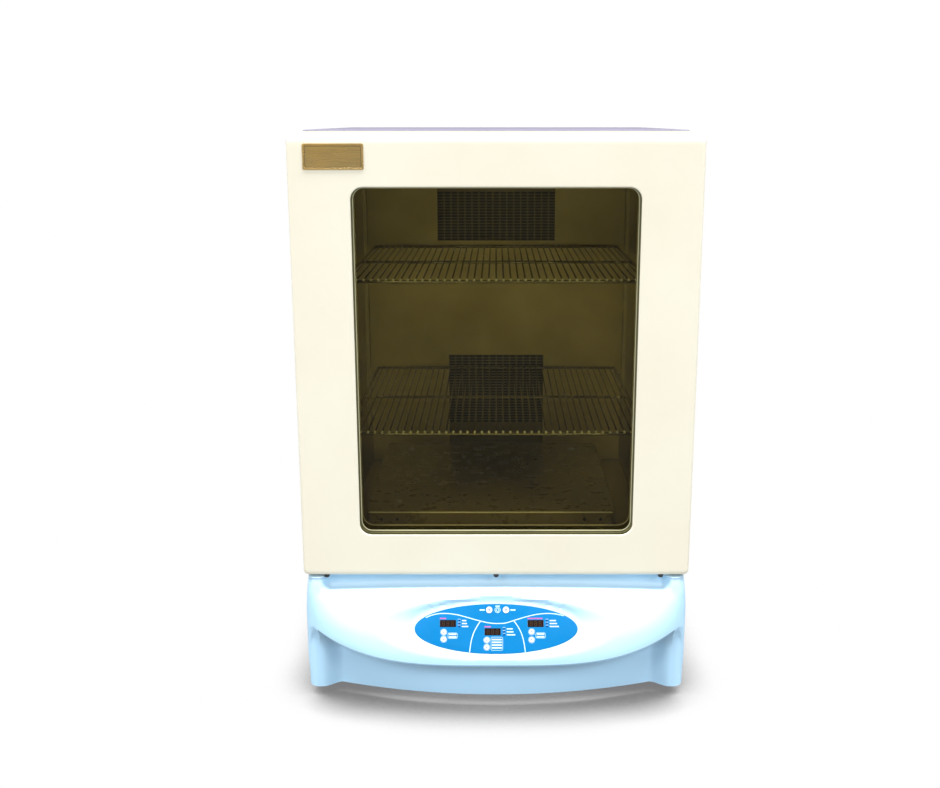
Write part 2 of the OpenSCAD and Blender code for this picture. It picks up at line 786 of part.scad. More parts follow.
module door_liner() {
    color("white")
    difference() {
        upright(y_door_back - 4, y_door_back) difference() {
            translate([0, door_z0 + door_h / 2]) polygon(rounded(door_w, door_h, 8));
            translate([0, window_z]) polygon(rounded(window_w, window_h, window_r));
        }
        hinge_pockets();
    }
}

module door_seal() {
    w = chamber_w + 46;
    z = (floor_z + ceiling_z) / 2;
    h = ceiling_z - floor_z + 30;
    color("whitesmoke")
    upright(y_door_back, y_cab - 0.3) translate([0, z]) difference() {
        polygon(rounded(w, h, 16));
        polygon(rounded(w - 30, h - 30, 8));
    }
}

// The outer pane lies well back in the opening; the frame's two rings hold it and the inner pane
reveal = 20;
pane_t = 4;
pane_lap = 20;
inner_pane_y = y_door_back - 2 * pane_t;
module pane(y) {
    upright(y, y + pane_t)
        translate([0, window_z])
            polygon(rounded(window_w + pane_lap, window_h + pane_lap, window_r + pane_lap / 2));
}

module outer_glass() {
    color("darkslategray", 0.5) pane(y_door + reveal);
}

module inner_glass() {
    color("lightcyan", 0.4) pane(inner_pane_y);
}

// A ring round the window, from the opening's edge outwards or inwards by width
module window_ring(y0, y1, outward, inward) {
    upright(y0, y1) translate([0, window_z]) difference() {
        polygon(rounded(window_w + 2 * outward, window_h + 2 * outward, window_r + outward));
        polygon(rounded(window_w - 2 * inward, window_h - 2 * inward, window_r - inward));
    }
}

frame_lap = 12;
bead = 2.5;
module window_frame() {
    color("gray") {
        window_ring(y_door + 2, y_door + reveal, frame_lap, 0);
        window_ring(y_door + reveal + pane_t, inner_pane_y, frame_lap, 0);
    }
}

module window_gasket() {
    color("gainsboro") window_ring(y_door + reveal - bead, y_door + reveal, 0, bead);
}

module nameplate() {
    color("goldenrod")
    upright(y_door - 1.8, y_door) translate([-259, door_z0 + 711]) polygon(rounded(97, 41, 2));
}

module door_plugs() {
    color("black")
    for (x = [-294, 0, 286]) translate([x, y_door + 8, door_z0 - 5])
        cylinder(r1 = 4, r2 = 5.5, h = 5, $fn = 32);
}

module hinge_bores(r) {
    for (z = [[door_z0 + 7, door_z0 + 42], [door_z1 - 42, door_z1 - 7]])
        translate([hinge_x, hinge_y, z[0]]) cylinder(r = r, h = z[1] - z[0], $fn = 32);
}

module hinge_bushes() {
    color("goldenrod")
    for (z = [door_z0 + 8, door_z1 - 40]) translate([hinge_x, hinge_y, z])
        tube(hinge_pin_r + 4, hinge_pin_r + run_gap, 32);
}

// Two brackets with their upright pins, which stand in the door's bushes
module hinge_brackets() {
    color("silver") {
        hinge_bracket(door_z0 + 1, door_z0 + 1, 1);
        hinge_bracket(door_z1 - 1 - bracket_t, door_z1 - 1, -1);
    }
}

module hinge_bracket(z, pin_z, dir) {
    half = bracket_w / 2;
    flange = 36;
    flange_z = dir > 0 ? z : z + bracket_t - flange;
    translate([hinge_x, hinge_y, z]) cylinder(r = half, h = bracket_t, $fn = 48);
    span([hinge_x - half, hinge_y, z], [hinge_x + half, y_cab, z + bracket_t]);
    difference() {
        span([hinge_x - half, y_cab - 2, flange_z], [hinge_x + half, y_cab, flange_z + flange]);
        for (p = case_screw_front) translate([p[0], y_cab - 3, p[1]]) rotate([-90, 0, 0])
            cylinder(r = case_screw_r, h = 4, $fn = 24);
    }
    translate([hinge_x, hinge_y, dir > 0 ? pin_z : pin_z - 34]) cylinder(r = hinge_pin_r, h = 34, $fn = 48);
}

// ---------- keys ----------

module key_start() { key_cap(0); }
module key_stop() { key_cap(1); }
module key_left_up() { key_cap(2); }
module key_left_down() { key_cap(3); }
module key_middle_up() { key_cap(4); }
module key_middle_down() { key_cap(5); }
module key_right_up() { key_cap(6); }
module key_right_down() { key_cap(7); }

feet();
base_frame();
base_deck();
front_fascia();
control_panel();
displays();
indicator_lamps();
control_board();
power_supply();
power_inlet();
power_switch();
drive_motor();
motor_pulley();
drive_belt();
bearing_housings();
crank_bearings();
main_crank();
drive_pulley();
counterweight();
idler_crank_left();
idler_crank_right();
platform_carriage();
platform();
platform_screws();
cabinet_shell();
top_cover();
front_frame();
chamber_liner();
insulation();
rear_cover();
rear_duct_panel();
heater();
fan_motor();
fan_wheel();
temperature_probe();
pilasters();
shelf_clips();
shelf_upper();
shelf_lower();
hinge_brackets();
hinge_bushes();
door_skin();
door_insulation();
door_liner();
door_seal();
outer_glass();
inner_glass();
window_frame();
window_gasket();
nameplate();
door_plugs();
case_screws();
key_start();
key_stop();
key_left_up();
key_left_down();
key_middle_up();
key_middle_down();
key_right_up();
key_right_down();
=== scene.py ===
"""Looks of the shaking incubator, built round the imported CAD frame.

Lengths in the geometry helpers are millimetres, as in the part; meshes are made in metres.
Origin on the floor under the middle of the overall box, +Z up, front towards -Y.
"""

import math

import bmesh
import bpy
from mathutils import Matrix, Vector


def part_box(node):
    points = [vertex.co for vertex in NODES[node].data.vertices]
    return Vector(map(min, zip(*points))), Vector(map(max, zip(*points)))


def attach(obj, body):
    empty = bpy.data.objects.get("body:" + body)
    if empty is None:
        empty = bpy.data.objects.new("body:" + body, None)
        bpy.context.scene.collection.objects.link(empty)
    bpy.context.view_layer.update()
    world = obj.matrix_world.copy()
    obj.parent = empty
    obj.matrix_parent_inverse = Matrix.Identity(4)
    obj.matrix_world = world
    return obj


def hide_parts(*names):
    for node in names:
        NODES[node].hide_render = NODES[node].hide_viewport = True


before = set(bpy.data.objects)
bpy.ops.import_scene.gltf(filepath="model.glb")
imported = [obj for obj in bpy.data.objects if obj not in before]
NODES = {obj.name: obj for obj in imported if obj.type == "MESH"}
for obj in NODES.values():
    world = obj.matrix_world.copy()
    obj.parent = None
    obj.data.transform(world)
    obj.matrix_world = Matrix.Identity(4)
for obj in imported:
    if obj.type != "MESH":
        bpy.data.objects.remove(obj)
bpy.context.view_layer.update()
MM = 0.001

# The fascia: half width, corner radius, how far its lip stands out, height of its floor edge, and the
# lip's height in the middle, its rise towards the ends and how suddenly it rises
HALF, CORNER, BULGE, FOOT = 333.5, 20.0, 63.0, 20.0
LIP_LOW, LIP_RISE, LIP_POWER = 93, 55, 3.2
# Its top edge; the crown's height in the middle and its fall at the ends; the finger scoop's half width
# and the width over which it runs out; the half width and half height of the dish round the panel
TOP, CREST, CREST_FALL = 227, 205, 6
SCOOP_END, SCOOP_BLEND = 306, 18
DISH_A, DISH_B, DISH_RIM = 207, 53, 5


def mm_box(node):
    """A CAD node's box, in millimetres."""
    lo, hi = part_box(node)
    return lo / MM, hi / MM


# ---------------------------------------------------------------- materials

def linear(c):
    """A colour given as 0-255 display values, as the linear values that shaders take."""
    out = []
    for v in c:
        v = v / 255
        out.append(v / 12.92 if v <= 0.04045 else ((v + 0.055) / 1.055) ** 2.4)
    return (*out, 1.0)


class Nodes:
    """A material's node tree, with the few building blocks that the finishes share."""

    def __init__(self, name):
        self.mat = bpy.data.materials.new(name)
        self.mat.use_nodes = True
        self.tree = self.mat.node_tree
        self.tree.nodes.clear()
        self.out = self.add("ShaderNodeOutputMaterial")
        self.coord = self.add("ShaderNodeTexCoord").outputs["Object"]

    def add(self, kind, **values):
        node = self.tree.nodes.new(kind)
        for key, value in values.items():
            setattr(node, key, value)
        return node

    def link(self, a, b):
        self.tree.links.new(a, b)

    def stretched(self, scale):
        m = self.add("ShaderNodeMapping")
        m.inputs["Scale"].default_value = scale
        self.link(self.coord, m.inputs["Vector"])
        return m.outputs["Vector"]

    def noise(self, scale, detail=3.0, rough=0.55, vector=None, distort=0.0):
        n = self.add("ShaderNodeTexNoise")
        n.inputs["Scale"].default_value = scale
        n.inputs["Detail"].default_value = detail
        n.inputs["Roughness"].default_value = rough
        n.inputs["Distortion"].default_value = distort
        self.link(vector or self.coord, n.inputs["Vector"])
        return n.outputs["Fac"]

    def ramp(self, fac, stops):
        r = self.add("ShaderNodeValToRGB")
        el = r.color_ramp.elements
        while len(el) < len(stops):
            el.new(0.5)
        for e, (pos, col) in zip(el, stops):
            e.position = pos
            e.color = col
        self.link(fac, r.inputs["Fac"])
        return r.outputs["Color"]

    def span(self, fac, low, high, from_low=0.3, from_high=0.7):
        m = self.add("ShaderNodeMapRange")
        m.inputs["From Min"].default_value = from_low
        m.inputs["From Max"].default_value = from_high
        m.inputs["To Min"].default_value = low
        m.inputs["To Max"].default_value = high
        self.link(fac, m.inputs["Value"])
        return m.outputs["Result"]

    def math(self, op, a, b):
        m = self.add("ShaderNodeMath", operation=op)
        for socket, v in zip(m.inputs, (a, b)):
            if isinstance(v, (int, float)):
                socket.default_value = v
            else:
                self.link(v, socket)
        return m.outputs[0]

    def mix(self, fac, a, b, blend="MIX"):
        """Two colours, mixed or multiplied; each is a socket or a fixed colour."""
        m = self.add("ShaderNodeMixRGB", blend_type=blend)
        for key, value in (("Fac", fac), ("Color1", a), ("Color2", b)):
            if isinstance(value, (float, tuple)):
                m.inputs[key].default_value = value
            else:
                self.link(value, m.inputs[key])
        return m.outputs["Color"]

    def place(self):
        """The point's own X, Y and Z in the part, in metres."""
        p = self.add("ShaderNodeSeparateXYZ")
        self.link(self.coord, p.inputs["Vector"])
        return p.outputs

    def bump(self, height, depth, strength=1.0, below=None):
        b = self.add("ShaderNodeBump")
        b.inputs["Strength"].default_value = strength
        b.inputs["Distance"].default_value = depth
        self.link(height, b.inputs["Height"])
        if below is not None:
            self.link(below, b.inputs["Normal"])
        return b.outputs["Normal"]

    def principled(self, color, rough, normal=None, **fixed):
        p = self.add("ShaderNodeBsdfPrincipled")
        for key, socket in (("Base Color", color), ("Roughness", rough)):
            if isinstance(socket, (int, float, tuple)):
                p.inputs[key].default_value = socket
            else:
                self.link(socket, p.inputs[key])
        if normal is not None:
            self.link(normal, p.inputs["Normal"])
        for key, value in fixed.items():
            p.inputs[key.replace("_", " ")].default_value = value
        return p.outputs["BSDF"]

    def done(self, shader):
        self.link(shader, self.out.inputs["Surface"])
        return self.mat


def painted(name, colour, shade, rough=0.4, grain=700.0, depth=0.00004, cloud=4.0, smudge=0.0, metal=0.0,
            **fixed):
    """Paint or moulded plastic: soft clouds of tone, an orange-peel grain, and uneven gloss."""
    n = Nodes(name)
    clouds = n.noise(cloud, 4.0)
    base = n.ramp(clouds, [(0.35, linear(colour)), (0.75, linear(shade))])
    if smudge:
        marks = n.noise(cloud * 9, 6.0, 0.7, distort=0.6)
        dirt = n.ramp(marks, [(0.62, (1, 1, 1, 1)), (0.8, (1 - smudge, 1 - smudge, 1 - smudge * 1.15, 1))])
        base = n.mix(1.0, base, dirt, "MULTIPLY")
    gloss = n.span(n.noise(cloud * 6, 5.0, 0.6), rough * 0.8, rough * 1.2)
    normal = n.bump(n.noise(grain, 2.0), depth, 0.5)
    fixed.setdefault("Metallic", metal)
    return n.done(n.principled(base, gloss, normal, **fixed))


def brushed(name, colour, shade, rough=0.32, along="Z", fine=900.0, depth=0.00002, streak=0.12, **fixed):
    """Rolled or brushed metal: fine lines along one axis, with slow changes of tone."""
    n = Nodes(name)
    scale = {"X": (4, fine, fine), "Y": (fine, 4, fine), "Z": (fine, fine, 4)}[along]
    lines = n.noise(1.0, 3.0, 0.6, n.stretched(scale))
    clouds = n.noise(5.0, 4.0)
    base = n.ramp(clouds, [(0.3, linear(colour)), (0.72, linear(shade))])
    gloss = n.math("ADD", n.span(lines, rough - streak, rough + streak), n.span(clouds, -0.03, 0.05))
    normal = n.bump(lines, depth, 0.6)
    fixed.setdefault("Metallic", 1.0)
    return n.done(n.principled(base, gloss, normal, **fixed))


def glass(name, tint, sheen_ior, smear=0.02):
    """A pane: what is behind it through its tint, and a faint mirror that grows at a slant."""
    n = Nodes(name)
    clear = n.add("ShaderNodeBsdfTransparent")
    film = n.noise(7.0, 4.0, 0.6, distort=0.4)
    tone = n.ramp(film, [(0.3, (*tint, 1)), (0.75, (*[min(1, t * (1 + smear)) for t in tint], 1))])
    n.link(tone, clear.inputs["Color"])
    shine = n.principled((1.0, 1.0, 1.0, 1.0), n.span(film, 0.03, 0.07), Metallic=1.0)
    fresnel = n.add("ShaderNodeFresnel")
    fresnel.inputs["IOR"].default_value = sheen_ior
    mix = n.add("ShaderNodeMixShader")
    n.link(fresnel.outputs["Fac"], mix.inputs["Fac"])
    n.link(clear.outputs["BSDF"], mix.inputs[1])
    n.link(shine, mix.inputs[2])
    return n.done(mix.outputs["Shader"])


def liner(name):
    """The chamber's steel, painted near black behind the duct panel as painted shade."""
    n = Nodes(name)
    lines = n.noise(1.0, 3.0, 0.6, n.stretched((300, 4, 300)))
    clouds = n.noise(5.0, 4.0)
    base = n.ramp(clouds, [(0.3, linear((196, 190, 172))), (0.72, linear((172, 166, 146)))])
    # Painted shade: behind the duct panel the steel turns near black and only slightly metallic.
    before_duct = n.span(n.place()["Y"], 1.0, 0.0, 0.3145, 0.316)
    metal = n.span(before_duct, 0.2, 1.0, 0.0, 1.0)
    colour = n.mix(before_duct, linear((26, 25, 22)), base)
    shader = n.principled(colour, n.span(lines, 0.34, 0.46), n.bump(lines, 0.00002, 0.6))
    n.link(metal, shader.node.inputs["Metallic"])
    return n.done(shader)


def duct(name):
    """The duct panel's steel, with the lands of its two grilles painted dark as painted shade."""
    n = Nodes(name)
    lines = n.noise(1.0, 3.0, 0.6, n.stretched((4, 300, 300)))
    clouds = n.noise(5.0, 4.0)
    base = n.ramp(clouds, [(0.3, linear((246, 234, 196))), (0.72, linear((206, 194, 156)))])
    # Painted shade: within the two grille areas the steel is mixed 70 % towards a dark grey.
    across, z = n.math("ABSOLUTE", n.place()["X"], 0), n.place()["Z"]
    high = n.math("MULTIPLY", n.math("LESS_THAN", across, 0.127), n.math("GREATER_THAN", z, 0.743))
    low = n.math("MULTIPLY", n.math("LESS_THAN", across, 0.105), n.math("LESS_THAN", z, 0.491))
    grille_shade = n.math("MULTIPLY", n.math("MAXIMUM", high, low), 0.7)
    colour = n.mix(grille_shade, base, linear((44, 43, 38)))
    return n.done(n.principled(colour, n.span(lines, 0.36, 0.46), n.bump(lines, 0.00002, 0.6), Metallic=0.45))


def moulded(name, colour, painted_light_colour, rough=0.36):
    """The fascia's plastic: painted light on faces that point up, painted shade under the lip, smudges and a
    fine spark-eroded grain.
    """
    n = Nodes(name)
    # Painted light: the more a face points up, the more its colour is mixed towards the paler second colour.
    facing = n.add("ShaderNodeSeparateXYZ")
    n.link(n.add("ShaderNodeNewGeometry").outputs["Normal"], facing.inputs["Vector"])
    painted_top_light = n.span(facing.outputs["Z"], 0.0, 0.6, 0.1, 0.5)
    clouds = n.noise(4.0, 4.0)
    base = n.ramp(clouds, [(0.3, linear(colour)), (0.75, linear([c * 0.975 for c in colour]))])
    marks = n.ramp(n.noise(38.0, 6.0, 0.7, distort=0.6), [(0.64, (1, 1, 1, 1)), (0.8, (0.95, 0.95, 0.95, 1))])
    painted_light_and_smudges = n.mix(1.0, n.mix(painted_top_light, base, linear(painted_light_colour)), marks, "MULTIPLY")
    # Painted shade: below the lip's curve and short of the ends, the colour is mixed 62 % towards a dark blue
    # down to 4 mm under the lip, fading out by 40 mm.
    share = n.math("DIVIDE", n.math("ABSOLUTE", n.place()["X"], 0), HALF * MM)
    rise = n.math("MULTIPLY", n.math("POWER", share, LIP_POWER), LIP_RISE * MM)
    lip = n.math("ADD", rise, (LIP_LOW - 0.5) * MM)
    below = n.math("SUBTRACT", lip, n.place()["Z"])
    under = n.math("MULTIPLY", n.math("GREATER_THAN", below, 0.0), n.math("LESS_THAN", share, 0.93))
    painted_lip_shade = n.math("MULTIPLY", under, n.span(below, 0.62, 0.0, 0.004, 0.04))
    # The painted shade's dark blue.
    recess = n.mix(painted_lip_shade, painted_light_and_smudges, linear((58, 84, 104)))
    gloss = n.span(n.noise(24.0, 5.0, 0.6), rough * 0.8, rough * 1.2)
    return n.done(n.principled(recess, gloss, n.bump(n.noise(1100.0, 2.0), 0.00003, 0.5)))


def wool(name, colour, shade):
    n = Nodes(name)
    fibres = n.noise(160.0, 6.0, 0.75, distort=1.2)
    base = n.ramp(fibres, [(0.3, linear(shade)), (0.7, linear(colour))])
    return n.done(n.principled(base, 0.95, n.bump(fibres, 0.0015, 0.9)))


M = {}


def finish(kind, name, *colours, **rest):
    """Makes one of the named finishes."""
    M[name] = kind(name, *colours, **rest)


finish(painted, "cream_paint", (222, 219, 203), (218, 213, 195), 0.36, smudge=0.035)
finish(painted, "cabinet_paint", (243, 238, 224), (236, 229, 212), 0.4, smudge=0.05)
finish(painted, "roof_paint", (146, 142, 162), (134, 131, 152), 0.42, smudge=0.06)
finish(painted, "base_paint", (182, 205, 228), (168, 192, 218), 0.42, smudge=0.06)
# The fascia's second colour is painted light, mixed in where the fascia faces up.
finish(moulded, "pale_blue_plastic", (178, 219, 247), (206, 230, 247))
finish(painted, "panel_blue", (2, 116, 178), (2, 112, 172), 0.4, grain=1800.0, depth=0.00002, cloud=12.0,
       Specular_IOR_Level=0.2)
finish(painted, "panel_print", (206, 230, 250), (188, 219, 246), 0.4, grain=1800.0, depth=0.00001)
finish(painted, "panel_pink", (196, 92, 160), (180, 80, 160), 0.4, grain=1800.0, depth=0.00001)
finish(painted, "panel_edge", (52, 78, 104), (44, 66, 92), 0.4, grain=1800.0, depth=0.00001)
finish(painted, "display_black", (26, 14, 11), (34, 18, 14), 0.16, grain=2400.0, depth=0.00001, cloud=30.0)
finish(painted, "display_segment", (60, 42, 26), (70, 50, 28), 0.3, grain=2400.0, depth=0.00001)
finish(painted, "lamp_blue", (10, 46, 120), (8, 36, 104), 0.2, grain=2400.0, depth=0.00001)
finish(painted, "key_white", (238, 243, 248), (226, 234, 244), 0.34, grain=1500.0, depth=0.00002, cloud=20.0)
finish(painted, "key_mark", (46, 60, 78), (60, 74, 92), 0.5, grain=1500.0, depth=0.00001)
finish(painted, "black_plastic", (34, 34, 35), (44, 43, 43), 0.5, grain=1300.0, depth=0.00005)
finish(painted, "red_plastic", (176, 34, 30), (160, 26, 24), 0.35, grain=1300.0, depth=0.00003)
finish(painted, "white_plastic", (236, 234, 226), (226, 223, 213), 0.38, grain=900.0, depth=0.00004,
       smudge=0.05)
finish(painted, "rubber_black", (40, 40, 41), (52, 51, 50), 0.75, grain=1500.0, depth=0.0001, cloud=14.0)
finish(painted, "seal_grey", (168, 168, 162), (150, 150, 144), 0.6, grain=1500.0, depth=0.00006, cloud=10.0)
finish(painted, "bead_grey", (176, 174, 142), (160, 158, 126), 0.35, grain=1500.0, depth=0.00002, cloud=10.0)
finish(glass, "tinted_glass", (0.84, 0.78, 0.58), 1.2)
finish(glass, "clear_glass", (0.93, 0.96, 0.94), 1.12)
finish(brushed, "stainless", (208, 202, 184), (190, 184, 164), 0.42, "X", fine=300.0, streak=0.05)
finish(liner, "liner_steel")
finish(duct, "duct_steel")
finish(brushed, "steel", (186, 188, 190), (168, 170, 172), 0.32, "X")
finish(brushed, "chrome_wire", (178, 174, 158), (150, 146, 130), 0.22, "Y", depth=0.00001, streak=0.05)
# A near-white finish for painted highlights: the glints on the shelf wires' front tips and on the platform's
# front edge.
finish(painted, "weld_bright", (252, 252, 248), (246, 246, 240), 0.3, grain=1500.0, depth=0.00002)
finish(brushed, "brass", (196, 172, 120), (226, 178, 84), 0.3, "X", streak=0.06)
finish(brushed, "aluminium", (196, 198, 200), (176, 178, 181), 0.36, "X")
finish(brushed, "frame_olive", (132, 130, 92), (112, 110, 76), 0.45, "X", fine=500.0, Specular_IOR_Level=0.4)
finish(painted, "dark_anodised", (128, 116, 90), (140, 128, 100), 0.3, grain=1600.0, depth=0.00002, metal=0.3,
       cloud=8.0, Coat_Weight=0.5, Coat_Roughness=0.08)
finish(painted, "cast_grey", (118, 122, 126), (98, 102, 106), 0.6, grain=500.0, depth=0.0003, metal=0.5)
finish(painted, "weight_iron", (64, 62, 60), (84, 72, 62), 0.65, grain=380.0, depth=0.0005, metal=0.5)
finish(painted, "motor_grey", (58, 61, 65), (74, 77, 80), 0.45, grain=800.0, depth=0.0001)
finish(painted, "board_green", (22, 84, 44), (16, 66, 36), 0.4, grain=1600.0, depth=0.00006, cloud=30.0)
finish(wool, "mineral_wool", (206, 190, 130), (150, 134, 84))
finish(brushed, "bronze", (176, 132, 76), (150, 108, 62), 0.35, "Z")
finish(brushed, "heater_steel", (104, 98, 92), (84, 74, 66), 0.45, "Z")
# A near-black finish for painted shade in holes and recesses: the platform's holes and the screws' cross
# recesses.
finish(painted, "hole_dark", (16, 15, 12), (24, 22, 17), 0.6, grain=1500.0, depth=0.00002)


def finish_node(name, material):
    """A CAD node keeps its mesh and takes a procedural material."""
    node = NODES[name]
    node.data.materials.clear()
    node.data.materials.append(M[material])
    for polygon in node.data.polygons:
        polygon.material_index = 0


# Finishes made here that aren't slots of their own take the slot that they belong to
SLOT = {name: name for name in M}
SLOT.update(cabinet_paint="cream_paint", weld_bright="chrome_wire", panel_print="panel_blue",
            panel_pink="panel_blue", panel_edge="panel_blue", display_segment="display_black",
            key_mark="key_white", bead_grey="seal_grey", liner_steel="stainless", duct_steel="stainless",
            frame_olive="aluminium", hole_dark="dark_anodised")

# ---------------------------------------------------------------- mesh helpers

def build(name, points, faces, materials, body=None, instead=(), indices=None, smooth=True, angle=35):
    """A mesh piece from millimetre points. It rides on a body and stands for the CAD nodes named."""
    mesh = bpy.data.meshes.new(name)
    mesh.from_pydata([tuple(c * MM for c in p) for p in points], [], faces)
    mesh.validate()
    names = [materials] if isinstance(materials, str) else materials
    for m in names:
        mesh.materials.append(M[m])
    if indices:
        mesh.polygons.foreach_set("material_index", indices)
    obj = bpy.data.objects.new(name, mesh)
    bpy.context.scene.collection.objects.link(obj)
    tidy(obj, smooth, angle)
    if body:
        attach(obj, body)
    if instead:
        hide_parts(*instead)
    return obj


def tidy(obj, smooth=True, angle=35):
    """Joins doubled points, turns faces outward and marks the edges that stay sharp."""
    bm = bmesh.new()
    bm.from_mesh(obj.data)
    bmesh.ops.remove_doubles(bm, verts=bm.verts, dist=1e-6)
    bmesh.ops.recalc_face_normals(bm, faces=bm.faces)
    limit = math.radians(angle)
    for f in bm.faces:
        f.smooth = smooth
    for e in bm.edges:
        e.smooth = not (len(e.link_faces) == 2 and e.calc_face_angle(0) > limit)
    bm.to_mesh(obj.data)
    bm.free()
    obj.data.update()


class Shape:
    """Points and faces gathered from several closed shapes, each with its own material index."""

    def __init__(self):
        self.points, self.faces, self.indices = [], [], []

    def add(self, points, faces, index=0):
        start = len(self.points)
        self.points += [tuple(p) for p in points]
        self.faces += [tuple(i + start for i in f) for f in faces]
        self.indices += [index] * len(faces)

    def rings(self, rings, index=0, loop=False):
        """A closed skin through rings of equal length. Loop joins the last ring to the first;
        otherwise both ends are capped."""
        n, m = len(rings[0]), len(rings)
        points = [p for r in rings for p in r]
        faces = []
        for i in range(m if loop else m - 1):
            a, b = i * n, ((i + 1) % m) * n
            faces += [(a + j, a + (j + 1) % n, b + (j + 1) % n, b + j) for j in range(n)]
        if not loop:
            faces += [tuple(range(n - 1, -1, -1)), tuple(range((m - 1) * n, m * n))]
        self.add(points, faces, index)

    def turned(self, profile, place, n=32, index=0):
        """A profile of (radius, height) pairs turned about an axis; place maps (x, y, height) to the part."""
        self.rings([[place(x, y, h) for x, y in circle(r, n)] for r, h in profile], index)

    def rod(self, path, r, n=8, index=0, taper=0.35):
        """A round wire along a straight or bent path, with softly rounded ends."""
        pts = [Vector(p) for p in path]
        first = (pts[0] - pts[1]).normalized()
        last = (pts[-1] - pts[-2]).normalized()
        stations = [(pts[0], r * 0.45), (pts[0] - first * r * taper, r * 0.86),
                    (pts[0] - first * r * taper * 2, r)]
        stations += [(p, r) for p in pts[1:-1]]
        stations += [(pts[-1] - last * r * taper * 2, r), (pts[-1] - last * r * taper, r * 0.86),
                     (pts[-1], r * 0.45)]
        rings = []
        for i, (p, radius) in enumerate(stations):
            before = stations[max(0, i - 1)][0]
            after = stations[min(len(stations) - 1, i + 1)][0]
            d = (after - before).normalized()
            side = d.cross(Vector((0, 0, 1))) if abs(d.z) < 0.9 else d.cross(Vector((1, 0, 0)))
            side.normalize()
            up = side.cross(d)
            rings.append([p + side * a + up * b for a, b in circle(radius, n)])
        self.rings(rings, index)


def rounded(w, h, r, n, cx=0.0, cz=0.0):
    """A rounded rectangle, anticlockwise from the right, as flat (x, z) pairs."""
    out = []
    for k, (sx, sz) in enumerate([(1, 1), (-1, 1), (-1, -1), (1, -1)]):
        for i in range(n + 1):
            a = math.radians(90 * k + 90 * i / n)
            out.append((cx + sx * (w / 2 - r) + r * math.cos(a), cz + sz * (h / 2 - r) + r * math.sin(a)))
    return out


def hood(w, z0, z1, r, n=8):
    """An outline with round top corners and a square foot."""
    out = []
    for sx, start in ((1, 0), (-1, 90)):
        for i in range(n + 1):
            a = math.radians(start + 90 * i / n)
            out.append((sx * (w / 2 - r) + r * math.cos(a), z1 - r + r * math.sin(a)))
    return out + [(-w / 2, z0), (w / 2, z0)]


def circle(r, n):
    return [(r * math.cos(2 * math.pi * k / n), r * math.sin(2 * math.pi * k / n)) for k in range(n)]


def at_y(outline, y):
    return [(x, y, z) for x, z in outline]


def carve(obj, *boxes):
    """Cuts boxes, given as low and high corners in millimetres, out of a closed piece."""
    for lo, hi in boxes:
        cutter = Shape()
        cutter.rings([
            [(x, y, z) for x, y in ((lo[0], lo[1]), (hi[0], lo[1]), (hi[0], hi[1]), (lo[0], hi[1]))]
            for z in (lo[2], hi[2])
        ])
        cut_with(obj, cutter)


def cut_with(obj, shape):
    tool = bpy.data.objects.new("tool", bpy.data.meshes.new("tool"))
    tool.data.from_pydata([tuple(c * MM for c in p) for p in shape.points], [], shape.faces)
    bpy.context.scene.collection.objects.link(tool)
    tidy(tool, False)
    mod = obj.modifiers.new("cut", "BOOLEAN")
    mod.operation, mod.solver, mod.object = "DIFFERENCE", "EXACT", tool
    bpy.context.view_layer.update()
    made = bpy.data.meshes.new_from_object(obj.evaluated_get(bpy.context.evaluated_depsgraph_get()))
    obj.modifiers.clear()
    obj.data = made
    bpy.data.objects.remove(tool)
    tidy(obj)


def eased(t):
    t = max(0.0, min(1.0, t))
    return t * t * (3 - 2 * t)


# ---------------------------------------------------------------- door

door_lo, door_hi = mm_box("door_skin")
Y_DOOR, Y_LINER = door_lo.y, mm_box("door_liner")[0].y
DOOR_W, DOOR_H = door_hi.x - door_lo.x, door_hi.z - door_lo.z
DOOR_Z = (door_lo.z + door_hi.z) / 2
glass_lo, glass_hi = mm_box("outer_glass")
bead_lo, bead_hi = mm_box("window_gasket")
WIN_W, WIN_H = bead_hi.x - bead_lo.x, bead_hi.z - bead_lo.z
WIN_Z = (bead_lo.z + bead_hi.z) / 2
WIN_R = 20.0
bush_lo, bush_hi = mm_box("hinge_bushes")
HINGE_X, HINGE_Y = (bush_lo.x + bush_hi.x) / 2, (bush_lo.y + bush_hi.y) / 2


def hinge_pockets():
    """The pockets for the hinge brackets, open to the door's left and rear."""
    back = Y_LINER + 6
    return [
        ((door_lo.x - 1, HINGE_Y - 18, z0), (HINGE_X + 15, back, z1))
        for z0, z1 in ((door_lo.z - 1, door_lo.z + 8), (door_hi.z - 8, door_hi.z + 1))
    ]


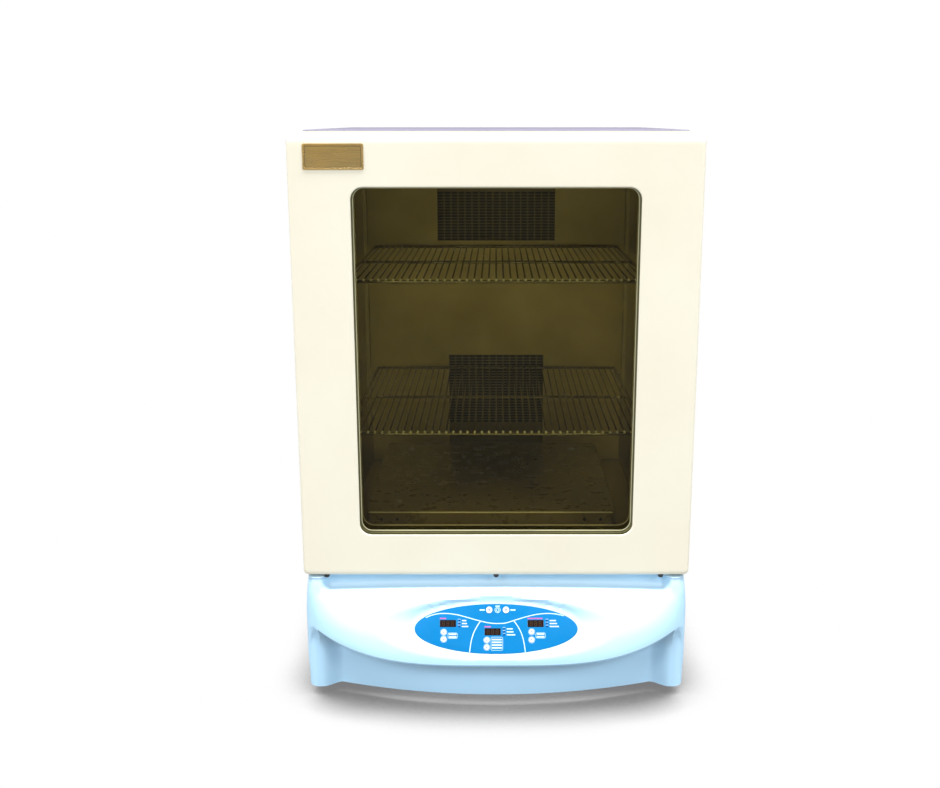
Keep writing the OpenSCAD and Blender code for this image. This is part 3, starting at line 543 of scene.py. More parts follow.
def door_skin():
    corner, n = 10.0, 8
    outline = rounded(DOOR_W, DOOR_H, corner, n, 0, DOOR_Z)
    top, side, bottom = 16.0, 5.0, 8.0
    flat_w, flat_h, flat_z = DOOR_W - 2 * side, DOOR_H - top - bottom, DOOR_Z + (bottom - top) / 2
    inner = rounded(flat_w, flat_h, 5.0, n, 0, flat_z)
    wall = 2.0

    def flat(inset, y):
        return at_y(rounded(flat_w - 2 * inset, flat_h - 2 * inset, 4.0, n, 0, flat_z), y)

    def radius(i):
        """The edge's radius at a point of the outline: it changes through each corner."""
        quarter, step = divmod(i, n + 1)
        t = eased(step / n)
        vertical = (top, top, bottom, bottom)[quarter]
        return side + (vertical - side) * (t if quarter in (0, 2) else 1 - t)

    rings = []

    def ring(a, inset, depth, y_back=None):
        """One ring of the rounded edge: a runs from 0 at the side wall to 90 degrees at the face."""
        out = []
        for i, ((ox, oz), (ix, iz)) in enumerate(zip(outline, inner)):
            c, s = math.cos(math.radians(a)), math.sin(math.radians(a))
            x, z = ix + (ox - ix) * c, iz + (oz - iz) * c
            y = Y_DOOR + depth + radius(i) * (1 - s) if y_back is None else y_back
            hx, hz = (1 - inset / (DOOR_W / 2)), (1 - inset / (DOOR_H / 2))
            out.append((x * hx, y, DOOR_Z + (z - DOOR_Z) * hz))
        return out

    rings.append(ring(0, 0, 0, Y_LINER))
    for a in range(0, 91, 10):
        rings.append(ring(a, 0, 0))
    rings.append(flat(3, Y_DOOR))
    roll = 2.0
    rings.append(window_ring(roll + 1, Y_DOOR, n))
    for a in (0, 18, 36, 54, 72, 90):
        s, c = math.sin(math.radians(a)), math.cos(math.radians(a))
        rings.append(window_ring(roll * (1 - s), Y_DOOR + roll * (1 - c), n))
    rings.append(window_ring(8, Y_DOOR + wall, n))
    rings.append(flat(5, Y_DOOR + wall))
    for a in (90, 60, 30, 0):
        rings.append(ring(a, wall, wall))
    rings.append(ring(0, wall, 0, Y_LINER))
    shape = Shape()
    shape.rings(rings, loop=True)
    obj = build("door_skin_formed", shape.points, shape.faces, "cream_paint", None, ["door_skin"])
    carve(obj, *hinge_pockets())
    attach(obj, "door")


def window_ring(out, y, n):
    """The window's outline, a distance outside its edge."""
    return at_y(rounded(WIN_W + 2 * out, WIN_H + 2 * out, WIN_R + out, n, 0, WIN_Z), y)


def door_liner():
    """The inner panel: a formed sheet with a soft edge outside and round the window."""
    n = 8
    y0, y1 = mm_box("door_liner")[0].y, mm_box("door_liner")[1].y
    t = y1 - y0
    rings = [at_y(rounded(DOOR_W, DOOR_H, 9.0, n, 0, DOOR_Z), y0)]
    for a in (0, 30, 60, 90):
        s, c = math.sin(math.radians(a)), math.cos(math.radians(a))
        e = (t - 1) * (1 - c)
        rings.append(at_y(rounded(DOOR_W - 2 * e, DOOR_H - 2 * e, 9.0 - e, n, 0, DOOR_Z),
                          y0 + 1 + (t - 1) * s))
    for w, y in ((14.0, y1), (10.0, y1 - 1.2), (3.0, y1 - 1.2), (1.0, y1 - 0.6), (0.0, y1 - 2.0), (0.0, y0)):
        rings.append(window_ring(w, y, n))
    shape = Shape()
    shape.rings(rings, loop=True)
    obj = build("door_liner_formed", shape.points, shape.faces, "white_plastic", None, ["door_liner"])
    carve(obj, *hinge_pockets())
    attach(obj, "door")


def door_seal():
    """A magnetic gasket: a soft bellows profile swept round the chamber's mouth."""
    lo, hi = mm_box("door_seal")
    n, cz = 8, (lo.z + hi.z) / 2
    w, h = hi.x - lo.x, hi.z - lo.z
    y0, depth = lo.y, hi.y - lo.y
    profile = [(0.6, 0), (0, 1.4), (0.5, 2.6), (1.6, 3.4), (0.7, 4.4), (0, 5.6), (0.6, 7), (2.4, depth),
               (12.6, depth),
               (14.4, 7), (15, 5.6), (14.3, 4.4), (13.4, 3.4), (14.5, 2.6), (15, 1.4), (14.4, 0)]
    shape = Shape()
    shape.rings([at_y(rounded(w - 2 * i, h - 2 * i, 16 - i * 0.5, n, 0, cz), y0 + min(d, depth))
                 for i, d in profile], loop=True)
    build("door_seal_bellows", shape.points, shape.faces, "seal_grey", "door", ["door_seal"])


def window_parts():
    """The two metal rings behind the skin and the light bead that lies on the outer pane."""
    n = 10
    ring_lo = mm_box("window_frame")[0]
    y0, y1 = ring_lo.y, glass_lo.y
    shape = Shape()
    profile = [(12, y0), (0.6, y0), (0, y0 + 0.8), (0, y1 - 8.5), (0.8, y1 - 8), (0.8, y1 - 7), (0, y1 - 6.5),
               (0, y1 - 0.6),
               (0.4, y1), (12, y1)]
    shape.rings([window_ring(o, y, n) for o, y in profile], loop=True)
    y2, y3 = glass_hi.y, mm_box("inner_glass")[0].y
    profile = [(12, y2), (0.5, y2), (0, y2 + 0.6), (0, y3 - 0.6), (0.5, y3), (12, y3)]
    shape.rings([window_ring(o, y, n) for o, y in profile], loop=True)
    build("window_frame_rings", shape.points, shape.faces, "frame_olive", "door", ["window_frame"])
    bead = []
    for k in range(12):
        a = 2 * math.pi * k / 12
        bead.append((-1.25 + 1.25 * math.cos(a), (bead_lo.y + bead_hi.y) / 2 + 1.25 * math.sin(a)))
    shape = Shape()
    shape.rings([window_ring(o, y, n) for o, y in bead], loop=True)
    build("window_bead", shape.points, shape.faces, "bead_grey", "door", ["window_gasket"])


def nameplate():
    """A blank brass plate: a raised rim round a recessed field, with a dark line pressed inside the rim."""
    lo, hi = mm_box("nameplate")
    w, h, cx, cz = hi.x - lo.x, hi.z - lo.z, (lo.x + hi.x) / 2, (lo.z + hi.z) / 2
    y0, y1 = lo.y, hi.y
    n = 5

    def ring(inset, y, r):
        return at_y(rounded(w - 2 * inset, h - 2 * inset, max(r, 0.3), n, cx, cz), y)

    shape = Shape()
    rings = [ring(0, y1, 2.4), ring(0, y0 + 0.7, 2.4), ring(0.3, y0 + 0.2, 2.2), ring(0.8, y0, 1.8),
             ring(2.4, y0, 1.2),
             ring(2.9, y0 + 0.3, 1.0), ring(3.2, y0 + 0.9, 0.9)]
    shape.rings(rings)
    build("nameplate_blank", shape.points, shape.faces, ["brass", "panel_edge"], "door", ["nameplate"])
    line = Shape()
    outer, inner_ = ring(3.9, y0 + 0.86, 0.9), ring(4.4, y0 + 0.86, 0.7)
    deep_out, deep_in = ring(3.9, y0 + 1.2, 0.9), ring(4.4, y0 + 1.2, 0.7)
    line.rings([deep_out, outer, inner_, deep_in], loop=True)
    build("nameplate_line", line.points, line.faces, "black_plastic", "door")


def door_plugs():
    lo, hi = mm_box("door_plugs")
    shape = Shape()
    y = (lo.y + hi.y) / 2
    for x in (lo.x + 5.5, 0.0, hi.x - 5.5):
        shape.turned([(3.2, lo.z), (4.0, lo.z + 0.5), (4.3, lo.z + 1.5), (4.6, hi.z - 1.6), (5.2, hi.z - 1.0),
                      (5.5, hi.z)], lambda a, b, h, x=x: (x + a, y + b, h), 24)
    build("door_plugs_turned", shape.points, shape.faces, "black_plastic", "door", ["door_plugs"])


door_skin()
door_liner()
door_seal()
window_parts()
nameplate()
door_plugs()

# ---------------------------------------------------------------- front fascia

Y_CAB = mm_box("front_frame")[0].y
Y_FRONT = mm_box("front_fascia")[0].y
BACK = Y_CAB - 0.5
TILT = math.radians(62)
UP = Vector((0, math.cos(TILT), math.sin(TILT)))
OUT = Vector((0, -math.sin(TILT), math.cos(TILT)))
panel_lo, panel_hi = mm_box("control_panel")
PANEL_T = 6.0
PANEL = (panel_lo + panel_hi) / 2 + OUT * (PANEL_T / 2)
PANEL_A, PANEL_B = (panel_hi.x - panel_lo.x) / 2, 42.0


def on_panel(x, y, h=0.0):
    return PANEL + Vector((x, 0, 0)) + UP * y + OUT * h


def lip_out(u):
    return BULGE * (1 - u ** 4)


def lip_z(u):
    return LIP_LOW + LIP_RISE * u ** LIP_POWER


def skirt_out(u):
    return -18 + 47 * (1 - (u / 0.82) ** 2) if u < 0.82 else -18 * (1 - eased((u - 0.82) / 0.1))


def front_section(u, x):
    o, z, s = lip_out(u), lip_z(u), skirt_out(u)
    crest = CREST - CREST_FALL * u * u
    k = eased((SCOOP_END - abs(x)) / SCOOP_BLEND)
    scoop = [(-24, 226.5), (-22.5, 217), (-19, crest + 5), (-10, crest + 1)]
    cheek = [(-6, 226.5), (-3, 223), (-0.5, 216), (1.8, 208)]
    top = [(a[0] * k + b[0] * (1 - k), a[1] * k + b[1] * (1 - k)) for a, b in zip(scoop, cheek)]
    drop = crest - z
    return [(BACK_OUT, TOP)] + top + [
        (4, crest),
        (4 + 0.36 * (o - 4), crest - 0.2 * drop),
        (4 + 0.65 * (o - 4), crest - 0.42 * drop),
        (4 + 0.86 * (o - 4), crest - 0.64 * drop),
        (4 + 0.97 * (o - 4), crest - 0.85 * drop),
        (o, z), (o - 1.5, z - 4), (s + 0.6 * (o - s), z - 9), (s + 0.14 * (o - s), z - 16), (s, z - 28),
        (s, FOOT)]


BACK_OUT = Y_DOOR - BACK
SIDE = [(-6, TOP), (-6, 226.5), (-5, 220), (-4, 212), (-3, 202), (-2, 190), (-1, 176), (0, 162), (0, 146),
        (0, 130),
        (0, 115), (0, 100), (0, 85), (0, 70), (-1, 50), (-2, FOOT)]


def stations(front_n=170, corner_n=14):
    out = [(-HALF, BACK - i * 12.5, (-1, 0), 0.0, 1.0) for i in range(3)]
    for i in range(corner_n):
        a = math.radians(90 * i / corner_n)
        c, s = math.cos(a), math.sin(a)
        out.append((-HALF + CORNER * (1 - c), Y_DOOR + CORNER * (1 - s), (-c, -s), eased(i / corner_n),
                    1 - 0.05 * i / corner_n))
    for i in range(front_n + 1):
        x = (HALF - CORNER) * (2 * i / front_n - 1)
        out.append((x, Y_DOOR, (0, -1), 1.0, abs(x) / HALF))
    mirror = [(-x, y, (-d[0], d[1]), w, u) for x, y, d, w, u in reversed(out[:3 + corner_n])]
    return out + mirror


def smooth_line(pts, per=5):
    """A curve through the points, with shape-keeping ends."""
    out = []
    for i in range(len(pts) - 1):
        p0, p1, p2, p3 = (pts[max(0, i - 1)], pts[i], pts[i + 1], pts[min(len(pts) - 1, i + 2)])
        for k in range(per):
            t = k / per
            out.append(tuple(
                0.5 * (2 * b + (c - a) * t + (2 * a - 5 * b + 4 * c - d) * t * t
                       + (3 * b - a - 3 * c + d) * t ** 3)
                for a, b, c, d in zip(p0, p1, p2, p3)))
    return out + [tuple(pts[-1])]


def dip(p):
    """Share of the dip round the panel at a point: none outside the outer oval, all of it inside the rim."""
    t = (p - PANEL).dot(UP)
    within = 1 - math.hypot(p.x / DISH_A, t / DISH_B)
    beyond = math.hypot(p.x / (PANEL_A + DISH_RIM), t / (PANEL_B + DISH_RIM)) - 1
    if within <= 0:
        return 0.0
    return 1.0 if beyond <= 0 else within / (within + beyond)


def behind(p, depth):
    """The crown dips from an outer oval to lie a depth behind the panel's face."""
    h = max(0.0, (p - PANEL).dot(OUT) + depth)
    return Vector((p.x, p.y + h * dip(p) / math.sin(TILT), p.z))


def front_fascia():
    wall, proud = 4.0, 0.8
    rings = []
    for x, y, d, w, u in stations():
        front = smooth_line(front_section(u, x))
        side = smooth_line(SIDE)
        line = [(f[0] * w + s[0] * (1 - w), f[1] * w + s[1] * (1 - w)) for f, s in zip(front, side)]
        outer = []
        for o, z in line:
            px, py = min(HALF, max(-HALF, x + d[0] * o)), max(Y_FRONT, y + d[1] * o)
            outer.append(behind(Vector((px, py, z)), proud))
        inner = []
        for j, (o, z) in enumerate(line):
            o2, z2 = (o - 0.5, z - wall) if j == 0 else (o - wall, min(z, TOP - wall))
            inner.append(behind(Vector((x + d[0] * o2, y + d[1] * o2, z2)), PANEL_T + 0.2 + wall))
        rings.append(outer + inner[::-1])
    shape = Shape()
    shape.rings(rings)
    obj = build("front_fascia_moulded", shape.points, shape.faces, "pale_blue_plastic", None,
                ["front_fascia"], angle=50)
    pocket = Shape()
    gap = 0.4
    pocket.rings([[on_panel((PANEL_A + gap) * c, (PANEL_B + gap) * s, h) for c, s in circle(1, 120)]
                  for h in (-PANEL_T - 0.2, 12.0)])
    cut_with(obj, pocket)
    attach(obj, "cabinet")


front_fascia()

# ---------------------------------------------------------------- control panel

def bar(shape, cx, cy, w, h, z0, z1, index=0, r=None, n=3):
    r = min(w, h) * 0.3 if r is None else r
    outline = rounded(w, h, r, n, cx, cy)
    shape.rings([[on_panel(x, y, z0) for x, y in outline], [on_panel(x, y, z1) for x, y in outline]], index)


def ribbon(shape, line, width, z0, z1, index=0):
    """A flat printed line along (x, y) points on the panel."""
    left, right = [], []
    for i, (x, y) in enumerate(line):
        a, b = line[max(0, i - 1)], line[min(len(line) - 1, i + 1)]
        d = Vector((b[0] - a[0], b[1] - a[1])).normalized()
        left.append((x - d.y * width / 2, y + d.x * width / 2))
        right.append((x + d.y * width / 2, y - d.x * width / 2))
    m = len(line)
    points = [on_panel(x, y, z) for z in (z0, z1) for x, y in left + right]
    faces = []
    for i in range(m - 1):
        l0, l1, r0, r1 = i, i + 1, m + i, m + i + 1
        faces += [(2 * m + l0, 2 * m + l1, 2 * m + r1, 2 * m + r0), (l0, r0, r1, l1),
                  (l0, l1, 2 * m + l1, 2 * m + l0), (r0, 2 * m + r0, 2 * m + r1, r1)]
    faces += [(0, 2 * m, 3 * m, m), (m - 1, 2 * m - 1, 4 * m - 1, 3 * m - 1)]
    shape.add(points, faces, index)


KEYS = ["key_start", "key_stop", "key_left_up", "key_left_down", "key_middle_up", "key_middle_down",
        "key_right_up",
        "key_right_down"]


def key_place(name):
    """A key's place on the panel and its radius, from its CAD box."""
    lo, hi = mm_box(name)
    c = (lo + hi) / 2 - PANEL
    return c.x, c.dot(UP), (hi.x - lo.x) / 2


KEY_AT = {k: key_place(k) for k in KEYS}
DISPLAYS = [(-83.0, 9.0), (-6.0, -5.0), (68.0, 9.0)]
# Three lamps stand in a column beside each display
LAMP_DX, LAMP_STEP = 19.5, 5
# Printing starts a little inside the plate and ends just above it
LIFT, PRINT = 0.3, 0.06


def key_wells(obj):
    for x, y, r in KEY_AT.values():
        well = Shape()
        well.turned([(r + 0.3, -5.0), (r + 0.3, 2.0)], lambda a, b, h, x=x, y=y: on_panel(x + a, y + b, h),
                    40)
        cut_with(obj, well)


def panel_plate():
    shape = Shape()
    shape.rings([[on_panel((PANEL_A - inset) * c, (PANEL_B - inset) * s, h) for c, s in circle(1, 144)]
                 for inset, h in ((0.0, -PANEL_T), (0.0, -0.45), (0.1, -0.2), (0.3, -0.05), (0.6, 0.0))])
    obj = build("control_panel_plate", shape.points, shape.faces, "panel_blue", None, ["control_panel"])
    key_wells(obj)
    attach(obj, "cabinet")


def hoop(shape, x, y, r, width):
    """A printed circle."""
    line = [(x + a, y + b) for a, b in circle(r, 40)]
    ribbon(shape, line + line[:1], width, -LIFT, PRINT)


def inside(x, y, margin):
    return (x / (PANEL_A - margin)) ** 2 + (y / (PANEL_B - margin)) ** 2 <= 1


def printing():
    """Lines, blank label blocks, colour bars and a plain round mark, printed on the panel."""
    top = smooth_line([
        (-121, 19), (-113, 22.5), (-100, 25.5), (-85, 26), (-68, 24), (-52, 20), (-38, 16), (-26, 13),
        (-12, 10), (2, 9),
        (16, 9.8), (27, 13), (40, 17), (54, 21), (70, 24.5), (88, 26), (104, 25), (121, 21)], 6)
    top = [p for p in top if inside(*p, 1.2)]
    left = smooth_line([(-26.5, 13.5), (-33, 4), (-39, -8), (-43, -22), (-45.5, -39.4)], 8)
    right = smooth_line([(30.5, 13.5), (37.5, 4), (43.5, -8), (47.5, -22), (50, -38.6)], 8)
    lines = Shape()
    for path in (top, left, right):
        ribbon(lines, path, 1.5, -LIFT, PRINT)
    for (cx, cy), longest in zip(DISPLAYS, (11, 15, 16)):
        for k, share in zip((1, 0, -1), (0.7, 0.8, 1.0)):
            w = longest * share
            bar(lines, cx + 24 + w / 2, cy + LAMP_STEP * k, w, 2.0, -LIFT, PRINT)
            bar(lines, cx + LAMP_DX, cy + LAMP_STEP * k + 2.4, 5.0, 0.45, -LIFT, PRINT, r=0.1)
    for key, w, h, rows in (("key_left_up", 16, 9, 2), ("key_middle_up", 20, 22, 4),
                            ("key_right_up", 16, 9, 2)):
        x, y, r = KEY_AT[key]
        cx, cy = x + r + 3 + w / 2, y - 6
        for k in range(rows):
            bar(lines, cx, cy + (rows - 1) / 2 * 4.6 - 4.6 * k, w - 3, 2.4, -LIFT, PRINT)
        frame_line = rounded(w, h, 2.2, 5, cx, cy)
        ribbon(lines, frame_line + frame_line[:1], 0.6, -LIFT, PRINT)
    for k in KEYS[2:]:
        x, y, r = KEY_AT[k]
        hoop(lines, x, y, r + 1.1, 0.5)
    for side, k in ((-1, "key_start"), (1, "key_stop")):
        x, y, r = KEY_AT[k]
        bar(lines, x + side * (r + 6.5), y, 9, 2.0, -LIFT, PRINT)
    mid = (KEY_AT["key_start"][0] + KEY_AT["key_stop"][0]) / 2
    mark_y = KEY_AT["key_start"][1]
    for radius, width in ((4.6, 0.8), (2.4, 0.9)):
        hoop(lines, mid, mark_y, radius, width)
    bar(lines, mid, mark_y + 6.6, 8, 1.6, -LIFT, PRINT)
    build("panel_print_lines", lines.points, lines.faces, "panel_print", "cabinet", angle=60)
    bars = Shape()
    for (cx, cy), w in zip(DISPLAYS, (11, 11, 26)):
        bar(bars, cx - 14 + w / 2, cy + 8.6, w, 2.0, -LIFT, PRINT)
    build("panel_print_bars", bars.points, bars.faces, "panel_pink", "cabinet")


def displays():
    """Black windows with a bevelled edge; three unlit digits of seven segments lie under each."""
    shape = Shape()
    for cx, cy in DISPLAYS:
        shape.rings([[on_panel(x, y, z) for x, y in rounded(2 * w, 2 * h, 1.2, 4, cx, cy)]
                     for w, h, z in ((14.0, 6.0, -1.0), (14.0, 6.0, 0.05), (13.7, 5.7, 0.2),
                                     (13.2, 5.2, 0.2))])
    build("display_windows", shape.points, shape.faces, "display_black", "cabinet", ["displays"])
    digits = Shape()
    for cx, cy in DISPLAYS:
        for k in (-1, 0, 1):
            x0, w, h, t = cx + 7.6 * k, 3.6, 7.6, 0.8
            for dy in (-h / 2, 0, h / 2):
                bar(digits, x0, cy + dy, w - t, t, 0.1, 0.24, r=0.2, n=2)
            for dx in (-w / 2, w / 2):
                for dy in (-h / 4, h / 4):
                    bar(digits, x0 + dx, cy + dy, t, h / 2 - t, 0.1, 0.24, r=0.2, n=2)
    build("display_digits", digits.points, digits.faces, "display_segment", "cabinet")


def lamps():
    shape = Shape()
    for cx, cy in DISPLAYS:
        for k in (-1, 0, 1):
            shape.turned([(1.5, -1.0), (1.5, 0.1), (1.3, 0.28), (0.9, 0.37), (0.4, 0.4)],
                         lambda a, b, h, x=cx + LAMP_DX, y=cy + LAMP_STEP * k: on_panel(x + a, y + b, h), 20)
    build("lamp_lenses", shape.points, shape.faces, "lamp_blue", "cabinet", ["indicator_lamps"])


def keys():
    for name in KEYS:
        x, y, r = KEY_AT[name]
        shape = Shape()
        profile = [(r, -4.1), (r, 0.35), (r - 0.12, 0.62), (r - 0.4, 0.82), (r - 0.8, 0.9), (r - 1.6, 0.86),
                   (r * 0.3, 0.74)]
        shape.turned(profile, lambda a, b, h: on_panel(x + a, y + b, h), 40)
        marks = Shape()
        if name in ("key_start", "key_stop"):
            marks.turned([(1.5, 0.5), (1.5, 0.85), (1.2, 0.9)], lambda a, b, h: on_panel(x + a, y + b, h), 24)
        else:
            d = 1 if name.endswith("up") else -1
            s = 1.7
            tri = [(-s, -s * 0.6 * d), (s, -s * 0.6 * d), (0, s * 0.9 * d)]
            if d < 0:
                tri = tri[::-1]
            marks.rings([[on_panel(x + a, y + b, h) for a, b in tri] for h in (0.5, 0.9)])
        shape.add(marks.points, marks.faces, 1)
        build(name + "_cap", shape.points, shape.faces, ["key_white", "key_mark"], name, [name],
              shape.indices)


panel_plate()
printing()
displays()
lamps()
keys()

# ---------------------------------------------------------------- cabinet

def cabinet():
    lo, hi = mm_box("cabinet_shell")
    n, t, r = 10, 1.5, 14.0
    w = hi.x - lo.x
    shape = Shape()
    inner = hood(w - 2 * t, lo.z, hi.z - t, r - t, n)
    rings = []
    for y, o in ((lo.y, 0.5), (lo.y + 0.5, 0.0), (hi.y - 0.5, 0.0), (hi.y, 0.5)):
        rings.append(at_y(hood(w - 2 * o, lo.z, hi.z - o, r - o, n), y))
    rings += [at_y(inner, hi.y), at_y(inner, lo.y)]
    shape.rings(rings, loop=True)
    build("cabinet_wrap", shape.points, shape.faces, "cabinet_paint", "cabinet", ["cabinet_shell"])

    lo, hi = mm_box("top_cover")
    cx, cy = (lo.x + hi.x) / 2, (lo.y + hi.y) / 2
    w, d = hi.x - lo.x, hi.y - lo.y
    shape = Shape()
    rings = []
    for inset, z in ((0, lo.z), (0, lo.z + 0.8), (0.4, hi.z - 0.5), (1.2, hi.z - 0.1), (2.2, hi.z)):
        rings.append([(x, y, z) for x, y in rounded(w - 2 * inset, d - 2 * inset, 4 - inset, 6, cx, cy)])
    shape.rings(rings)
    build("roof_sheet", shape.points, shape.faces, "roof_paint", "cabinet", ["top_cover"])


def rear_cover():
    """The rear sheet, with pressed louvres over the fan and a folded edge."""
    lo, hi = mm_box("rear_cover")
    n, r = 10, 14.0
    w = hi.x - lo.x
    shape = Shape()
    rings = [at_y(hood(w, lo.z, hi.z, r, n), lo.y), at_y(hood(w, lo.z, hi.z, r, n), hi.y - 0.5),
             at_y(hood(w - 1, lo.z + 0.5, hi.z - 0.5, r - 0.5, n), hi.y)]
    shape.rings(rings)
    fan_z = (mm_box("fan_wheel")[0].z + mm_box("fan_wheel")[1].z) / 2
    obj = build("rear_sheet", shape.points, shape.faces, "cabinet_paint", None, ["rear_cover"])
    grid = [(sx, fan_z - 28 + 8 * j) for sx in (-21, 21) for j in range(8)]
    slots, hoods = Shape(), Shape()
    for sx, z in grid:
        outline = rounded(32, 3, 1.4, 4, sx, z)
        slots.rings([at_y(outline, lo.y - 1), at_y(outline, hi.y + 1)])
    cut_with(obj, slots)
    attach(obj, "cabinet")
    profile = [(1.6, -0.2), (1.8, 0.6), (2.1, 1.7), (3.0, 1.6), (4.4, 0.8), (5.2, -0.2)]
    for sx, z in grid:
        hoods.rings([[(sx + x, hi.y + dy * f if dy > 0 else hi.y + dy, z + dz) for dz, dy in profile]
                     for x, f in ((-16.5, 0.15), (-15, 0.7), (-12, 1.0), (12, 1.0), (15, 0.7), (16.5, 0.15))])
    build("rear_louvres", hoods.points, hoods.faces, "cabinet_paint", "cabinet")


def screw(shape, centre, axis, r, head, slot_index=1):
    """A pan head with a cross recess drawn as two dark bars of painted shade; axis points out of the metal.
    """
    c, out = Vector(centre), Vector(axis).normalized()
    side = out.cross(Vector((0, 0, 1))) if abs(out.z) < 0.9 else Vector((1, 0, 0))
    side.normalize()
    up = out.cross(side)
    profile = [(r, 0), (r, head * 0.35), (r * 0.93, head * 0.65), (r * 0.75, head * 0.88), (r * 0.45, head)]
    shape.turned(profile, lambda a, b, h: c + side * a + up * b + out * h, 28, 0)
    # The cross recess: two dark bars of painted shade standing just proud of the head.
    for k in (0, 1):
        a, b = (side, up) if k == 0 else (up, side)
        length, width = r * 0.55, r * 0.12
        rings = [[c + a * (sx * length) + b * (sy * width) + out * h for sx,
                  sy in ((-1, -1), (1, -1), (1, 1), (-1, 1))]
                 for h in (head * 0.4, head * 1.01)]
        shape.rings(rings, slot_index)


def case_screws():
    lo, hi = mm_box("case_screws")
    shape = Shape()
    cover = mm_box("rear_cover")
    w, z0, z1 = cover[1].x - cover[0].x, cover[0].z, cover[1].z
    for sx in (-1, 1):
        for z in (z0 + 12, 480, 720, z1 - 14):
            screw(shape, (sx * (w / 2 - 12), hi.y - 1.6, z), (0, 1, 0), 3.6, 1.6)
    for dx in (-5, 5):
        for z in (door_lo.z + 22, door_hi.z - 22):
            screw(shape, (HINGE_X + dx, lo.y + 1.6, z), (0, -1, 0), 3.6, 1.6)
    build("case_screw_heads", shape.points, shape.faces, ["steel", "hole_dark"], "cabinet", ["case_screws"],
          shape.indices)


def base():
    """The base's folded sheet case, with softened edges, slots and a louvred rear."""
    lo, hi = mm_box("base_frame")
    n = 5
    cx, cy = (lo.x + hi.x) / 2, (lo.y + hi.y) / 2
    w, d, t = hi.x - lo.x, hi.y - lo.y, 2.0

    def ring(inset, z, r):
        return [(x, y, z) for x, y in rounded(w - 2 * inset, d - 2 * inset, r, n, cx, cy)]

    shape = Shape()
    shape.rings([ring(3, lo.z, 3), ring(1.2, lo.z + 0.4, 3), ring(0.3, lo.z + 1.3, 3), ring(0, lo.z + 3, 3),
                 ring(0, hi.z, 3), ring(t, hi.z, 1.2), ring(t, lo.z + t, 1.2)])
    obj = build("base_case", shape.points, shape.faces, "base_paint", None, ["base_frame"])
    cuts = Shape()
    x0, z0 = 150.0, 90.0
    for cx0, w0, h0 in ((x0, 30, 22), (x0 + 45, 22, 30)):
        outline = rounded(w0, h0, 1.5, 4, cx0, z0)
        cuts.rings([at_y(outline, hi.y - 5), at_y(outline, hi.y + 1)])
    for z in range(60, 133, 12):
        outline = rounded(160, 4, 1.9, 4, -140, z + 2)
        cuts.rings([at_y(outline, hi.y - t - 1), at_y(outline, hi.y + 1)])
    cut_with(obj, cuts)
    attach(obj, "cabinet")


def feet():
    lo, hi = mm_box("feet")
    shape = Shape()
    for x in (lo.x + 24, hi.x - 24):
        for y in (lo.y + 24, hi.y - 24):
            profile = [(15, lo.z), (17.5, lo.z), (18.5, lo.z + 0.8), (19, lo.z + 2.5), (20.5, lo.z + 9),
                       (22.5, hi.z - 4),
                       (24, hi.z - 2.6), (24, hi.z)]
            shape.turned(profile, lambda a, b, h, x=x, y=y: (x + a, y + b, h), 48)
    build("feet_moulded", shape.points, shape.faces, "rubber_black", "cabinet", ["feet"])


cabinet()
rear_cover()
case_screws()
base()
feet()

# ---------------------------------------------------------------- shelves and platform

def wire_shelf(node, body, z):
    lo, hi = mm_box(node)
    rail, wire, pitch = 3.0, 1.5, 12.5
    half, y0, y1 = (hi.x - lo.x) / 2, lo.y, hi.y
    shape = Shape()
    for sx in (-1, 1):
        shape.rod([(sx * (half - rail), y0, z - 4), (sx * (half - rail), y1, z - 4)], rail, 14)
    depth = y1 - y0
    for y in (rail, depth / 2, depth - rail):
        shape.rod([(-half + 0.5, y0 + y, z - 4.3), (half - 0.5, y0 + y, z - 4.3)], rail * 0.97, 12)
    count = int((half - rail) / pitch)
    for i in range(-count, count + 1):
        centre = (i * pitch, y0, z - wire)
        shape.rod([centre, (i * pitch, y1, z - wire)], wire, 8)
        # Each wire's front tip is a cap in the near-white finish: a painted highlight.
        shape.turned([(wire * 1.3, 7.0), (wire * 1.3, 0.8), (wire * 1.0, 0.2), (wire * 0.5, 0.0)],
                     lambda a, b, h, c=centre: (c[0] + a, c[1] + h, c[2] + b), 10, 1)
    build(node + "_wires", shape.points, shape.faces, ["chrome_wire", "weld_bright"], body, [node],
          shape.indices,
          angle=60)


